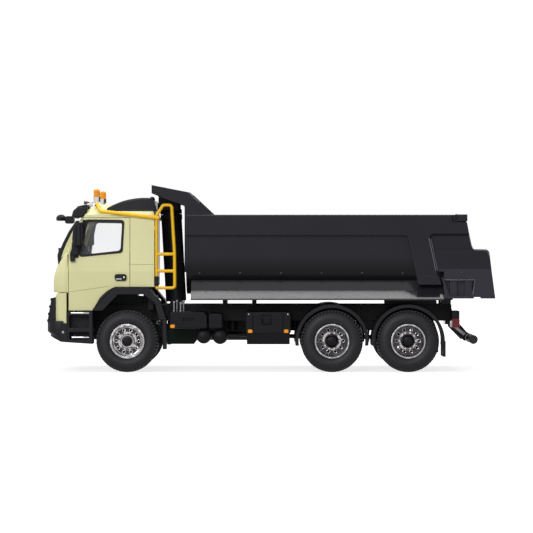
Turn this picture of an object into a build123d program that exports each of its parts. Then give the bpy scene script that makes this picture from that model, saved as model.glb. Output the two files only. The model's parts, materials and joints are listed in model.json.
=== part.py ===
from build123d import *
import os
from math import atan2, cos, degrees, hypot, pi, sin, sqrt

# Three-axle tipper truck, collector's scale model at 1:50, in millimetres.
# +X runs to the front bumper, +Y to the left, +Z up; the tyres stand on Z = 0.

# Overall places along the truck
NOSE_X = 80.95
TAIL_X = -80.95
FRONT_AXLE_X = 51.7
WHEELBASE = 73.8
BOGIE_SPACING = 27.5
REAR_AXLES_X = (FRONT_AXLE_X - WHEELBASE, FRONT_AXLE_X - WHEELBASE - BOGIE_SPACING)

# Clearances
SHUT_GAP = 0.15
RUNNING_GAP = 0.05
SEAT_GAP = 0.1
MOVING_GAP = 0.3

# Tyres and rims
TYRE_R = 11.2
TYRE_WIDTH = 6.2
RIM_SEAT_R = 5.9
RIM_LIP_R = 6.2
RIM_WALL = 0.75
WHEEL_FACE_Y = 25.0
TWIN_GAP = 0.5
AXLE_PIN_R = 0.85
HAND_HOLES = 10
HAND_HOLE_R = 0.5
HAND_HOLE_CIRCLE = 4.1
HUB_R = 2.2
AXLE_Z = TYRE_R

# Steering
KINGPIN_Y = 20.0
KINGPIN_R = 0.45
KNUCKLE_R = 1.05
KNUCKLE_HEIGHT = 4.4
STUB_R = 0.9
STEER_ARM = 4.2
STEER_ARM_INSET = 2.3
FORK_ARM = 0.85

# Ladder frame
FRAME_HALF = 8.5
FRAME_TOP = 24.1
FRAME_DEPTH = 6.0
FRAME_WEB = 0.7
FRAME_FLANGE = 1.8
FRAME_FRONT_X = 73.4
FRAME_REAR_X = -66.4
CROSS_MEMBERS_X = (14.0, -9.0, -36.0, FRAME_REAR_X + 6.0)
CROSS_MEMBER = 1.6

# Cab
CAB_WALL = 1.0
CAB_FLOOR_Z = 31.2
CAB_FLOOR = 1.0
CAB_REAR_X = 42.0
CAB_CEILING_Z = 57.6
BELT_Z = 36.3
GUTTER_Z = 56.8
FRONT_PANEL_Z = 28.7
DOOR_FRONT_X = 73.0
DOOR_REAR_X = 50.7
DOOR_BOTTOM_Z = 22.25
DOOR_TOP_Z = 55.8
ARCH_TOP_Z = 30.8
ARCH_FRONT_X = 64.4
ARCH_SHOULDER_X = 56.2
GLASS = 0.6
GLASS_INSET = 0.15
WINDSCREEN_BULGE = 0.9

# Load bed
BED_FRONT_X = 30.6
BED_SHELL_HALF = 23.6
BED_RAIL_PROUD = 1.4
BED_HALF = BED_SHELL_HALF + BED_RAIL_PROUD
BED_WALL = 1.0
BED_TOP_Z = 56.8
BED_FLOOR_Z = 28.0
BED_PIPE_R = 15.0
BED_RAIL_Z = BED_TOP_Z - 7.4
SKIRT_TOP_Z = 33.1
SKIRT_BEND_Z = 29.4
SKIRT_BOTTOM_Z = 26.0
SKIRT_WALL = 0.8
RUNNER_BOTTOM_Z = 25.7
BED_PIVOT_X = FRAME_REAR_X + 1.9
BED_PIVOT_Z = 23.0
BED_PIN_R = 0.8
NOTCH_X = -65.3
NOTCH_Z = BED_TOP_Z - 2.7
GATE_PIVOT_X = -67.0
GATE_PIVOT_Z = BED_TOP_Z - 1.1
GATE_PIN_R = 0.5
GATE_WALL = 1.0
CHEEK_BOTTOM_Z = 26.6

# Hoist: foot pin and top eye at rest
HOIST_FOOT = (34.9, 24.0)
HOIST_EYE = (37.0, 61.2)
BARREL_R = 3.8
HOIST_WALL = 0.55
HOIST_STEP = 0.7
STAGE_GAP = 0.15


# Drawing helpers

def side_prism(outline, y_low, y_high):
    """Solid from an X-Z outline, between two Y planes."""
    plane = Plane(origin=(0, y_high, 0), x_dir=(1, 0, 0), z_dir=(0, -1, 0))
    return extrude(plane * outline, amount=y_high - y_low)


def front_prism(outline, x_low, x_high):
    """Solid from a Y-Z outline, between two X planes."""
    plane = Plane(origin=(x_low, 0, 0), x_dir=(0, 1, 0), z_dir=(1, 0, 0))
    return extrude(plane * outline, amount=x_high - x_low)


def plan_prism(outline, z_low, z_high):
    """Solid from an X-Y outline, between two Z planes."""
    return extrude(Plane.XY.offset(z_low) * outline, amount=z_high - z_low)


def polygon(*points):
    return make_face(Polyline(*points, close=True))


def rounded(radius, *points):
    return make_face(FilletPolyline(*points, radius=radius, close=True))


def rounded_rect(radius, across, up):
    """Rectangle between low and high values with round corners."""
    (left, right), (low, high) = across, up
    return rounded(radius, (left, low), (right, low), (right, high), (left, high))


def eased(radius, corners, *points):
    """Polygon with only the named corners rounded."""
    outline = polygon(*points)
    chosen = [
        vertex for vertex in outline.vertices()
        if any(hypot(vertex.X - corner[0], vertex.Y - corner[1]) < 0.001 for corner in corners)
    ]
    return fillet(chosen, radius)


def edges_at(shape, *places):
    """Edges of a shape whose middle lies at one of the places."""
    return [
        edge for edge in shape.edges()
        if any((edge.center() - Vector(*place)).length < 0.3 for place in places)
    ]


def block(x, y, z):
    """Box between low and high values given as pairs."""
    low = Vector(min(x), min(y), min(z))
    high = Vector(max(x), max(y), max(z))
    size = high - low
    return Pos(*((low + high) * 0.5)) * Box(size.X, size.Y, size.Z)


def rod(start, end, radius):
    start = Vector(*start)
    along = Vector(*end) - start
    return Solid.make_cylinder(radius, along.length, Plane(origin=start, z_dir=along))


def tube(points, radius, bend):
    path = FilletPolyline(*points, radius=bend)
    return sweep(Plane(origin=path @ 0, z_dir=path % 0) * Circle(radius), path)


def turned(profile, x, z, side=1):
    """Profile of (radius, distance along Y) turned about the Y line at x, z."""
    solid = revolve(Plane.XZ * polygon(*profile), Axis.Z)
    return Pos(x, 0, z) * (Rot(X=-90 * side) * solid)


def mirrored(shape):
    return mirror(shape, about=Plane.XZ)


def pair(shape):
    return solids_of(shape, mirrored(shape))


def solids_of(*shapes):
    """One node from pieces that do not touch."""
    found = []
    for shape in shapes:
        found += list(shape.solids())
    return Compound(found)


def fused(shape, *others):
    for other in others:
        shape = shape + other
    return shape


# Wheels

FRONT_WHEEL_Y = WHEEL_FACE_Y - TYRE_WIDTH / 2
OUTER_TWIN_Y = FRONT_WHEEL_Y
INNER_TWIN_Y = OUTER_TWIN_Y - TYRE_WIDTH - TWIN_GAP


def tyre(x, y):
    """Tyre with square shoulders and a slightly bulged side wall."""
    half = TYRE_WIDTH / 2
    bead = half - 0.6
    shoulder = half - 0.15
    tread = half - 0.6
    flank = [
        (RIM_SEAT_R, bead),
        (RIM_SEAT_R + 1.4, shoulder),
        (TYRE_R - 2.0, half),
        (TYRE_R - 0.45, shoulder),
        (TYRE_R, tread),
    ]
    profile = [(r, y - a) for r, a in flank] + [(r, y + a) for r, a in reversed(flank)]
    return turned(profile, x, AXLE_Z)


def rim_ring(y):
    """Barrel and two lips of one rim about its mid-plane."""
    seat = RIM_SEAT_R - 0.02
    inner = seat - RIM_WALL
    lip = TYRE_WIDTH / 2 - 0.1
    half = [
        (seat, lip - 0.4),
        (RIM_LIP_R, lip - 0.25),
        (RIM_LIP_R, lip),
        (inner + 0.35, lip),
        (inner, lip - 1.6),
    ]
    profile = [(r, y + a) for r, a in half] + [(r, y - a) for r, a in reversed(half)]
    return profile


def hand_holes(x, y_low, y_high):
    holes = []
    for index in range(HAND_HOLES):
        angle = 2 * pi * index / HAND_HOLES
        hole_x = x + HAND_HOLE_CIRCLE * cos(angle)
        hole_z = AXLE_Z + HAND_HOLE_CIRCLE * sin(angle)
        holes.append(rod((hole_x, y_low, hole_z), (hole_x, y_high, hole_z), HAND_HOLE_R))
    return holes


def front_rim():
    """Left front rim: domed disc with hand holes, hub cap and a bore for the stub axle."""
    y = FRONT_WHEEL_Y
    barrel = RIM_SEAT_R - RIM_WALL
    disc = [
        (0, y + 2.9),
        (1.6, y + 2.9),
        (HUB_R, y + 2.4),
        (HUB_R, y + 1.5),
        (HUB_R + 0.6, y + 1.2),
        (barrel + 0.1, y + 1.4),
        (barrel + 0.1, y + 0.7),
        (HUB_R + 0.6, y + 0.5),
        (HUB_R, y - 0.4),
        (STUB_R + RUNNING_GAP, y - 0.4),
        (STUB_R + RUNNING_GAP, y + 1.6),
        (0, y + 1.6),
    ]
    rim = turned(rim_ring(y), FRONT_AXLE_X, AXLE_Z) + turned(disc, FRONT_AXLE_X, AXLE_Z)
    for hole in hand_holes(FRONT_AXLE_X, y, y + 2.0):
        rim = rim - hole
    return rim


def rear_rims(x):
    """Four dished rims of one rear axle on their through pin."""
    outer = OUTER_TWIN_Y
    inner = INNER_TWIN_Y
    barrel = RIM_SEAT_R - RIM_WALL
    drum = 3.1
    disc_y = outer - 1.2
    hub = [
        (0, outer + 1.9),
        (1.5, outer + 1.9),
        (HUB_R, outer + 1.3),
        (HUB_R, disc_y + 0.4),
        (HUB_R + 0.3, disc_y),
        (barrel + 0.1, disc_y),
        (barrel + 0.1, disc_y - 0.7),
        (drum, disc_y - 0.7),
        (drum, inner + 0.4),
        (barrel + 0.1, inner + 0.4),
        (barrel + 0.1, inner - 0.3),
        (drum, inner - 0.3),
        (drum, inner - 2.4),
        (AXLE_PIN_R, inner - 2.4),
        (AXLE_PIN_R, 0),
        (0, 0),
    ]
    half = turned(hub, x, AXLE_Z) + turned(rim_ring(outer), x, AXLE_Z) + turned(rim_ring(inner), x, AXLE_Z)
    for hole in hand_holes(x, inner - 1.0, disc_y + 1.0):
        half = half - hole
    return half + mirrored(half)


def rear_tyres(x):
    twins = [tyre(x, OUTER_TWIN_Y), tyre(x, INNER_TWIN_Y)]
    return solids_of(*twins, *[mirrored(twin) for twin in twins])


# Front axle and steering

KNUCKLE_LOW = AXLE_Z - KNUCKLE_HEIGHT / 2
KNUCKLE_HIGH = AXLE_Z + KNUCKLE_HEIGHT / 2
ARM_END_X = FRONT_AXLE_X - STEER_ARM
ARM_END_Y = KINGPIN_Y - STEER_ARM_INSET
ARM_LOW = AXLE_Z - 1.8
ARM_HIGH = AXLE_Z - 1.0
TIE_ROD_R = 0.4
TIE_EYE_HALF = 0.5
TIE_EYE_R = 0.6
TIE_ROD_Z = ARM_LOW - SEAT_GAP - TIE_EYE_HALF


def knuckle():
    """Left steering knuckle: kingpin barrel, stub axle and rearward arm."""
    barrel = rod((FRONT_AXLE_X, KINGPIN_Y, KNUCKLE_LOW), (FRONT_AXLE_X, KINGPIN_Y, KNUCKLE_HIGH), KNUCKLE_R)
    stub_end = FRONT_WHEEL_Y + 1.45
    stub = rod((FRONT_AXLE_X, KINGPIN_Y, AXLE_Z), (FRONT_AXLE_X, stub_end, AXLE_Z), STUB_R)
    half = 0.55
    arm = plan_prism(
        polygon(
            (FRONT_AXLE_X, KINGPIN_Y - half),
            (FRONT_AXLE_X, KINGPIN_Y + half),
            (ARM_END_X, ARM_END_Y + half),
            (ARM_END_X, ARM_END_Y - half),
        ),
        ARM_LOW,
        ARM_HIGH,
    )
    eye = rod((ARM_END_X, ARM_END_Y, ARM_LOW), (ARM_END_X, ARM_END_Y, ARM_HIGH), TIE_EYE_R)
    bore = rod(
        (FRONT_AXLE_X, KINGPIN_Y, KNUCKLE_LOW - 1),
        (FRONT_AXLE_X, KINGPIN_Y, KNUCKLE_HIGH + 1),
        KINGPIN_R + RUNNING_GAP,
    )
    return fused(barrel, stub, arm, eye) - bore


def tie_rod():
    """Cross rod below the two steering arms, with flat eyes at its ends."""
    bar = rod((ARM_END_X, -ARM_END_Y, TIE_ROD_Z), (ARM_END_X, ARM_END_Y, TIE_ROD_Z), TIE_ROD_R)
    for side in (1, -1):
        low = (ARM_END_X, side * ARM_END_Y, TIE_ROD_Z - TIE_EYE_HALF)
        high = (ARM_END_X, side * ARM_END_Y, TIE_ROD_Z + TIE_EYE_HALF)
        bar = bar + rod(low, high, TIE_EYE_R)
    return bar


def front_axle():
    """Dropped axle beam with a fork and kingpin at each end."""
    fork_low = KNUCKLE_LOW - SHUT_GAP - FORK_ARM
    fork_high = KNUCKLE_HIGH + SHUT_GAP + FORK_ARM
    web_y = KINGPIN_Y - 5.6
    half_x = 1.1
    x = (FRONT_AXLE_X - half_x, FRONT_AXLE_X + half_x)
    beam = block(x, (-web_y, web_y), (fork_low, fork_low + 2.0))
    for side in (1, -1):
        web = block(x, (side * (web_y - 1.4), side * web_y), (fork_low, fork_high))
        low_arm = block(x, (side * web_y, side * (KINGPIN_Y + half_x)), (fork_low, fork_low + FORK_ARM))
        high_arm = block(x, (side * web_y, side * (KINGPIN_Y + half_x)), (fork_high - FORK_ARM, fork_high))
        pin_y = side * KINGPIN_Y
        pin = rod((FRONT_AXLE_X, pin_y, fork_low), (FRONT_AXLE_X, pin_y, fork_high), KINGPIN_R)
        beam = fused(beam, web, low_arm, high_arm, pin)
    return beam


# Chassis

FRAME_BOTTOM = FRAME_TOP - FRAME_DEPTH
FRAME_INNER = FRAME_HALF - FRAME_WEB
RAIL_LIP = FRAME_HALF - FRAME_FLANGE


def frame_rail():
    """Left channel rail, open towards the middle."""
    web = block((FRAME_REAR_X, FRAME_FRONT_X), (FRAME_INNER, FRAME_HALF), (FRAME_BOTTOM, FRAME_TOP))
    flanges = []
    for low in (FRAME_BOTTOM, FRAME_TOP - FRAME_WEB):
        z = (low, low + FRAME_WEB)
        flanges.append(block((FRAME_REAR_X, FRAME_FRONT_X), (RAIL_LIP, FRAME_HALF), z))
    return fused(web, *flanges)


CRADLE_X = (HOIST_FOOT[0] - 3.6, HOIST_FOOT[0] + 3.6)
HOIST_EAR_Y = (4.3, 5.6)
HOIST_PIN_R = 0.9
CAB_PADS_X = (45.5, 69.5)
REST_PADS_X = (16.8, 6.0)
BASE_SCREWS_X = (14.0, -9.0)
BASE_SCREW_Y = 4.6
BASE_BOSS_R = 1.6
BASE_BOSS_Z = 14.4
BASE_SCREW_R = 0.8
BASE_SCREW_DEPTH = 5.0


def hoist_cradle():
    """Cross beam and two ears with the pin that carries the hoist foot."""
    beam = block(CRADLE_X, (-FRAME_INNER, FRAME_INNER), (FRAME_BOTTOM, FRAME_BOTTOM + 1.6))
    for side in (1, -1):
        ear = rounded(
            0.8,
            (CRADLE_X[0], FRAME_BOTTOM),
            (CRADLE_X[1], FRAME_BOTTOM),
            (HOIST_FOOT[0] + 1.9, HOIST_FOOT[1] + 1.9),
            (HOIST_FOOT[0] - 1.9, HOIST_FOOT[1] + 1.9),
        )
        y = sorted((side * HOIST_EAR_Y[0], side * HOIST_EAR_Y[1]))
        beam = beam + side_prism(ear, *y)
    pin_y = HOIST_EAR_Y[1]
    pin = rod((HOIST_FOOT[0], -pin_y, HOIST_FOOT[1]), (HOIST_FOOT[0], pin_y, HOIST_FOOT[1]), HOIST_PIN_R)
    return beam + pin


def frame_ladder():
    """Two rails with cross members, cab and bed pads, hoist cradle and bed pivot pin."""
    frame = frame_rail() + mirrored(frame_rail())
    for x in CROSS_MEMBERS_X:
        member = block(
            (x - CROSS_MEMBER / 2, x + CROSS_MEMBER / 2),
            (-FRAME_INNER, FRAME_INNER),
            (FRAME_BOTTOM + FRAME_WEB, FRAME_TOP - FRAME_WEB),
        )
        frame = frame + member
    front = block((FRAME_FRONT_X - 3.0, FRAME_FRONT_X), (-FRAME_HALF, FRAME_HALF), (12.0, FRAME_TOP))
    frame = frame + front + hoist_cradle()
    for x in CAB_PADS_X:
        for side in (1, -1):
            y = (side * RAIL_LIP, side * FRAME_HALF)
            frame = frame + block((x - 1.2, x + 1.2), y, (FRAME_TOP, CAB_FLOOR_Z))
    for x in REST_PADS_X:
        for side in (1, -1):
            y = (side * RAIL_LIP, side * FRAME_HALF)
            frame = frame + block((x - 0.8, x + 0.8), y, (FRAME_TOP, RUNNER_BOTTOM_Z - SEAT_GAP))
    pin = rod((BED_PIVOT_X, -FRAME_HALF, BED_PIVOT_Z), (BED_PIVOT_X, FRAME_HALF, BED_PIVOT_Z), BED_PIN_R)
    frame = frame + pin
    for x in BASE_SCREWS_X:
        for y in (-BASE_SCREW_Y, BASE_SCREW_Y):
            boss = rod((x, y, BASE_BOSS_Z), (x, y, FRAME_TOP - FRAME_WEB), BASE_BOSS_R)
            hole = rod((x, y, BASE_BOSS_Z - 1), (x, y, BASE_BOSS_Z + BASE_SCREW_DEPTH), BASE_SCREW_R)
            frame = frame + boss - hole
    return frame


ENGINE_HALF = 6.3
SUMP_Z = 9.4
GEARBOX_TOP_Z = 16.6
GEARBOX_REAR_X = 26.0


def engine():
    """Engine block under the cab with the sump and gearbox behind the axle."""
    block_part = block((49.0, 67.0), (-ENGINE_HALF, ENGINE_HALF), (15.4, 29.0))
    sump = block((42.0, 49.0), (-ENGINE_HALF, ENGINE_HALF), (13.0, 27.0))
    gearbox = side_prism(
        polygon(
            (45.6, SUMP_Z),
            (45.6, GEARBOX_TOP_Z),
            (28.0, GEARBOX_TOP_Z),
            (GEARBOX_REAR_X, 14.6),
            (GEARBOX_REAR_X, 12.2),
            (28.2, SUMP_Z),
        ),
        -4.6,
        4.6,
    )
    mounts = block((54.0, 57.0), (-FRAME_INNER, FRAME_INNER), (19.4, 21.4))
    return fused(block_part, sump, gearbox, mounts)


DIFF_R = 3.6
HOUSING_R = 2.0
HOUSING_HALF = INNER_TWIN_Y - 2.4 - MOVING_GAP


def axle_housing(x):
    tube_part = rod((x, -HOUSING_HALF, AXLE_Z), (x, HOUSING_HALF, AXLE_Z), HOUSING_R)
    bowl = Pos(x, 0, AXLE_Z) * Sphere(DIFF_R)
    nose = rod((x, 0, AXLE_Z + 0.6), (x + 5.4, 0, AXLE_Z + 0.6), 1.5)
    bore = rod((x, -HOUSING_HALF - 1, AXLE_Z), (x, HOUSING_HALF + 1, AXLE_Z), AXLE_PIN_R + RUNNING_GAP)
    return fused(tube_part, bowl, nose) - bore


def drive_line():
    """Rear axle housings with the two propeller shafts."""
    first, second = REAR_AXLES_X
    z = AXLE_Z + 0.6
    front_shaft = rod((first + 5.4, 0, z), (GEARBOX_REAR_X - SEAT_GAP, 0, 13.4), 0.8)
    rear_shaft = rod((second + 5.4, 0, z), (first, 0, z), 0.8)
    bore = rod((first, -HOUSING_HALF, AXLE_Z), (first, HOUSING_HALF, AXLE_Z), AXLE_PIN_R + RUNNING_GAP)
    return fused(axle_housing(first), axle_housing(second), front_shaft, rear_shaft) - bore


SPRING_Y = (FRAME_HALF - 1.5, FRAME_HALF + 0.3)
SPRING_LEAF = 1.7


def leaf_spring(x, span, z_mid, z_end):
    """Leaf pack on an arc between two ends."""
    half = span / 2
    top_end = z_end + SPRING_LEAF
    upper = ThreePointArc((x - half, top_end), (x, z_mid + SPRING_LEAF), (x + half, top_end))
    lower = ThreePointArc((x + half, z_end), (x, z_mid), (x - half, z_end))
    ends = [Line(upper @ 1, lower @ 0), Line(lower @ 1, upper @ 0)]
    return side_prism(make_face([upper, lower, *ends]), *SPRING_Y)


def leaf_springs():
    """Front springs over the beam and rear bogie springs over the housings."""
    front = leaf_spring(FRONT_AXLE_X, 26.0, 10.05, 13.0)
    hangers = []
    for x in (FRONT_AXLE_X - 12.0, FRONT_AXLE_X + 12.0):
        hangers.append(block((x - 0.9, x + 0.9), SPRING_Y, (13.0, FRAME_BOTTOM)))
    front = fused(front, *hangers)
    middle = sum(REAR_AXLES_X) / 2
    rear = leaf_spring(middle, BOGIE_SPACING + 3.0, 16.0, AXLE_Z + HOUSING_R + SEAT_GAP)
    saddle = block((middle - 2.0, middle + 2.0), SPRING_Y, (14.6, FRAME_BOTTOM))
    rear = rear + saddle
    return solids_of(front, rear, mirrored(front), mirrored(rear))


BOX_OUT_Y = 23.8
BOX_TOP_Z = 21.8


BOX_EDGE = 0.45
BOX_BOTTOM_Z = 15.7
SLOT_X = (27.5, 31.7)
SLOT_Z = (18.3, 19.5)


def eased_box(outline, y_out):
    """Box hung on the left rail with its outer edges rounded."""
    box = side_prism(outline, FRAME_HALF, y_out)
    return fillet(box.faces().sort_by(Axis.Y)[-1].edges(), BOX_EDGE)


def chassis_boxes():
    """Service box with a grip slot, and slim tank, on the left rail behind the front wheel."""
    outline = rounded(
        0.9, (22.9, BOX_BOTTOM_Z), (36.4, BOX_BOTTOM_Z), (36.4, BOX_TOP_Z), (24.0, BOX_TOP_Z), (22.9, 20.6)
    )
    slot = rounded_rect(0.5, SLOT_X, SLOT_Z)
    service = eased_box(outline, BOX_OUT_Y) - side_prism(slot, BOX_OUT_Y - 0.8, BOX_OUT_Y + 1.0)
    outline = rounded_rect(0.9, (17.4, 22.5), (BOX_BOTTOM_Z, 21.2))
    tank = eased_box(outline, BOX_OUT_Y - 0.8)
    return solids_of(service, tank)


DOME_STEPS = 5
DOME_DEPTH = 1.6
AIR_TANK_TABLE = ((24.2, 12.9, 2.7), (18.3, 12.75, 2.75))


def air_tanks():
    """Two cross-lying air tanks with domed ends under the left boxes; columns x, z, radius."""
    tanks = []
    for x, z, radius in AIR_TANK_TABLE:
        y_low = FRAME_HALF + 0.6
        y_high = BOX_OUT_Y - 1.2
        dome = []
        for step in range(DOME_STEPS + 1):
            angle = pi / 2 * step / DOME_STEPS
            dome.append((radius * sin(angle), DOME_DEPTH * (1 - cos(angle))))
        profile = [(r, y_low + drop) for r, drop in dome] + [(r, y_high - drop) for r, drop in reversed(dome)]
        tank = turned(profile, x, z)
        for y in (y_low + 3.2, y_high - 3.2):
            tank = tank + block((x - 0.9, x + 0.9), (y - 0.6, y + 0.6), (z, 15.7))
        tanks.append(tank)
    return solids_of(*tanks)


BATTERY_X = (-7.3, 9.0)
BATTERY_BOTTOM_Z = 10.0
LID_BOTTOM_Z = 13.9
LATCH_X = (-0.5, 3.3)
LATCH_Z = (17.0, 20.6)


def battery_box():
    """Tall ribbed box amidships on the left, with a latch recess and stepped foot."""
    low, high = BATTERY_X
    lid = eased_box(rounded_rect(0.8, BATTERY_X, (LID_BOTTOM_Z, BOX_TOP_Z)), BOX_OUT_Y)
    for x in (low + 2.7, high - 2.7):
        groove_z = (LID_BOTTOM_Z + 0.7, BOX_TOP_Z - 0.7)
        lid = lid - block((x - 0.2, x + 0.2), (BOX_OUT_Y - 0.25, BOX_OUT_Y + 1.0), groove_z)
    foot = front_prism(
        polygon(
            (FRAME_HALF + 1.0, LID_BOTTOM_Z),
            (BOX_OUT_Y - 0.5, LID_BOTTOM_Z),
            (BOX_OUT_Y - 1.8, BATTERY_BOTTOM_Z),
            (FRAME_HALF + 2.0, BATTERY_BOTTOM_Z),
        ),
        low + 0.4,
        high - 0.4,
    )
    recess = rounded_rect(0.6, LATCH_X, LATCH_Z)
    floor_y = BOX_OUT_Y - 0.7
    grip_y = BOX_OUT_Y - 0.15
    rear, front = LATCH_X[0] + 0.5, LATCH_X[1] - 0.5
    low_z, high_z = LATCH_Z[0] + 0.5, LATCH_Z[0] + 2.0
    grip = tube(
        [
            (rear, floor_y - 0.1, high_z),
            (rear, grip_y, high_z),
            (rear, grip_y, low_z),
            (front, grip_y, low_z),
            (front, grip_y, high_z),
            (front, floor_y - 0.1, high_z),
        ],
        0.18,
        0.25,
    )
    return fused(lid + foot - side_prism(recess, floor_y, BOX_OUT_Y + 1.0), grip)


FUEL_TANK_X = (-6.0, 24.0)
TANK_BOTTOM_Z = 10.2
STRAP = 0.25


def fuel_tank():
    """Rounded fuel tank on the right rail with two straps and a filler cap."""
    low, high = FUEL_TANK_X
    outline = rounded_rect(2.4, (-BOX_OUT_Y, -FRAME_HALF - 0.6), (TANK_BOTTOM_Z, BOX_TOP_Z))
    tank = front_prism(outline, low, high)
    strap_outline = rounded_rect(
        2.6, (-BOX_OUT_Y - STRAP, -FRAME_HALF), (TANK_BOTTOM_Z - STRAP, BOX_TOP_Z + STRAP)
    )
    for x in (low + 6.0, high - 6.0):
        tank = tank + front_prism(strap_outline, x - 0.7, x + 0.7)
        tank = tank + block((x - 0.7, x + 0.7), (-FRAME_HALF - 2.8, -FRAME_HALF), (FRAME_BOTTOM, BOX_TOP_Z))
    cap_x, cap_y = high - 3.0, 4.0 - BOX_OUT_Y
    cap = rod((cap_x, cap_y, BOX_TOP_Z - 1.0), (cap_x, cap_y, BOX_TOP_Z + 1.0), 1.2)
    return tank + cap


def silencer():
    """Boxed exhaust silencer on the right rail with its side outlet."""
    body = front_prism(
        rounded_rect(1.6, (-BOX_OUT_Y, -FRAME_HALF), (11.4, BOX_TOP_Z)), 25.4, 36.4
    )
    outlet = rod((30.9, -BOX_OUT_Y + 6.0, 11.8), (30.9, -BOX_OUT_Y + 6.0, 9.6), 1.2)
    return body + outlet


# Front end

BUMPER_HALF = 24.8
STEP_FRONT_X = 73.4
STEP_REAR_X = 64.2
CORNER_BOTTOM_Z = 17.7


def nose_plan(front_x, rear_x, half, corner_depth, corner_width, bulge):
    """Plan outline of a front piece: bowed front, round corners, square back."""
    corner_x = front_x - bulge
    side_x = corner_x - corner_depth
    corner_y = half - corner_width
    middle = (side_x + corner_depth * 0.72, half - corner_width * 0.30)
    edges = [
        Line((rear_x, half), (side_x, half)),
        ThreePointArc((side_x, half), middle, (corner_x, corner_y)),
        ThreePointArc((corner_x, corner_y), (front_x, 0), (corner_x, -corner_y)),
        ThreePointArc((corner_x, -corner_y), (middle[0], -middle[1]), (side_x, -half)),
        Line((side_x, -half), (rear_x, -half)),
        Line((rear_x, -half), (rear_x, half)),
    ]
    return make_face(edges)


def bumper():
    """Black lower bumper with a chamfered chin and a raised middle."""
    side = side_prism(
        polygon(
            (NOSE_X, 18.6), (NOSE_X, 14.2), (NOSE_X - 0.9, 13.1), (75.6, 11.0), (FRAME_FRONT_X, 10.8),
            (FRAME_FRONT_X, CORNER_BOTTOM_Z), (NOSE_X - 2.4, CORNER_BOTTOM_Z), (NOSE_X - 1.4, 19.4),
        ),
        -BUMPER_HALF,
        BUMPER_HALF,
    )
    plan = plan_prism(nose_plan(NOSE_X, FRAME_FRONT_X, BUMPER_HALF, 4.6, 8.0, 1.2), 5.0, 30.0)
    return side & plan


GRILLE_HALF = 13.6
GRILLE_FRONT_X = 79.9
GRILLE_TOP_Z = 27.9
GRILLE_SLATS = 5
SLAT_HEIGHT = 0.7


def grille():
    """Lower grille block with proud slats, between the two corner pieces."""
    bottom = CORNER_BOTTOM_Z
    back = side_prism(
        polygon(
            (FRAME_FRONT_X, bottom), (NOSE_X - 2.5, bottom), (GRILLE_FRONT_X - 0.8, 20.0),
            (GRILLE_FRONT_X - 1.4, 25.4), (77.0, GRILLE_TOP_Z), (FRAME_FRONT_X, GRILLE_TOP_Z),
        ),
        -GRILLE_HALF,
        GRILLE_HALF,
    )
    pitch = (25.4 - 20.0) / GRILLE_SLATS
    for index in range(GRILLE_SLATS):
        z = 20.3 + pitch * index
        front = GRILLE_FRONT_X - 0.12 * index
        back = back + block((front - 2.0, front), (-GRILLE_HALF, GRILLE_HALF), (z, z + SLAT_HEIGHT))
    return solids_of(back, front_vent())


VENT_Z = (30.0, 34.6)
VENT_HALF = (13.4, 14.6)
VENT_DEPTH = 0.5
VENT_SLOTS = 3
VENT_SLOT = 0.8


def vent_outline(margin):
    low, high = VENT_Z[0] - margin, VENT_Z[1] + margin
    low_half, high_half = VENT_HALF[0] + margin, VENT_HALF[1] + margin
    return rounded(0.9, (-low_half, low), (low_half, low), (high_half, high), (-high_half, high))


def vent_skin(depth, margin):
    """Stretch of the cab's front skin inside the vent's outline, to a depth."""
    skin = cab_form(0, 28.0, BELT_Z) - cab_form(depth, 28.0, BELT_Z)
    return skin & front_prism(vent_outline(margin), 70.0, 90.0)


def front_vent():
    """Slotted panel let into the cab's front above the lower grille."""
    panel = vent_skin(VENT_DEPTH, 0)
    pitch = (VENT_Z[1] - VENT_Z[0]) / VENT_SLOTS
    for index in range(VENT_SLOTS):
        z = VENT_Z[0] + pitch * (index + 0.5)
        half = VENT_HALF[0] - 1.0
        slot = block((70.0, 90.0), (-half, half), (z - VENT_SLOT / 2, z + VENT_SLOT / 2))
        panel = panel - (vent_skin(VENT_DEPTH - 0.2, 0) & slot)
    return panel


LAMP_Y = (14.6, 20.6)
LAMP_Z = (20.4, 26.2)
LAMP_DEPTH = 1.6


def corner_solid():
    """Both cab-coloured corner pieces below the front panel, before the lamp pockets."""
    side = side_prism(
        polygon(
            (FRAME_FRONT_X + 0.2, CORNER_BOTTOM_Z),
            (NOSE_X - 2.6, CORNER_BOTTOM_Z),
            (79.0, 20.0),
            (78.2, 26.4),
            (77.2, FRONT_PANEL_Z - SHUT_GAP), (FRAME_FRONT_X + 0.2, FRONT_PANEL_Z - SHUT_GAP),
        ),
        -BUMPER_HALF,
        BUMPER_HALF,
    )
    plan = plan_prism(nose_plan(79.3, FRAME_FRONT_X, BUMPER_HALF - 0.4, 3.4, 8.0, 1.0), 10.0, 35.0)
    middle = block((60, 90), (-GRILLE_HALF - SEAT_GAP, GRILLE_HALF + SEAT_GAP), (10, 40))
    return (side & plan) - middle


def lamp_prism(margin):
    outline = rounded(
        0.9,
        (LAMP_Y[0] - margin, LAMP_Z[0] - margin),
        (LAMP_Y[1] + margin, LAMP_Z[0] - margin),
        (LAMP_Y[1] + margin, LAMP_Z[1] + margin),
        (LAMP_Y[0] - margin, LAMP_Z[1] + margin),
    )
    left = front_prism(outline, 75.2, 85.0)
    return left + mirrored(left)


def bumper_corners():
    return corner_solid() - lamp_prism(0)


def headlamps():
    return solids_of(corner_solid() & lamp_prism(-RUNNING_GAP))


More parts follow.
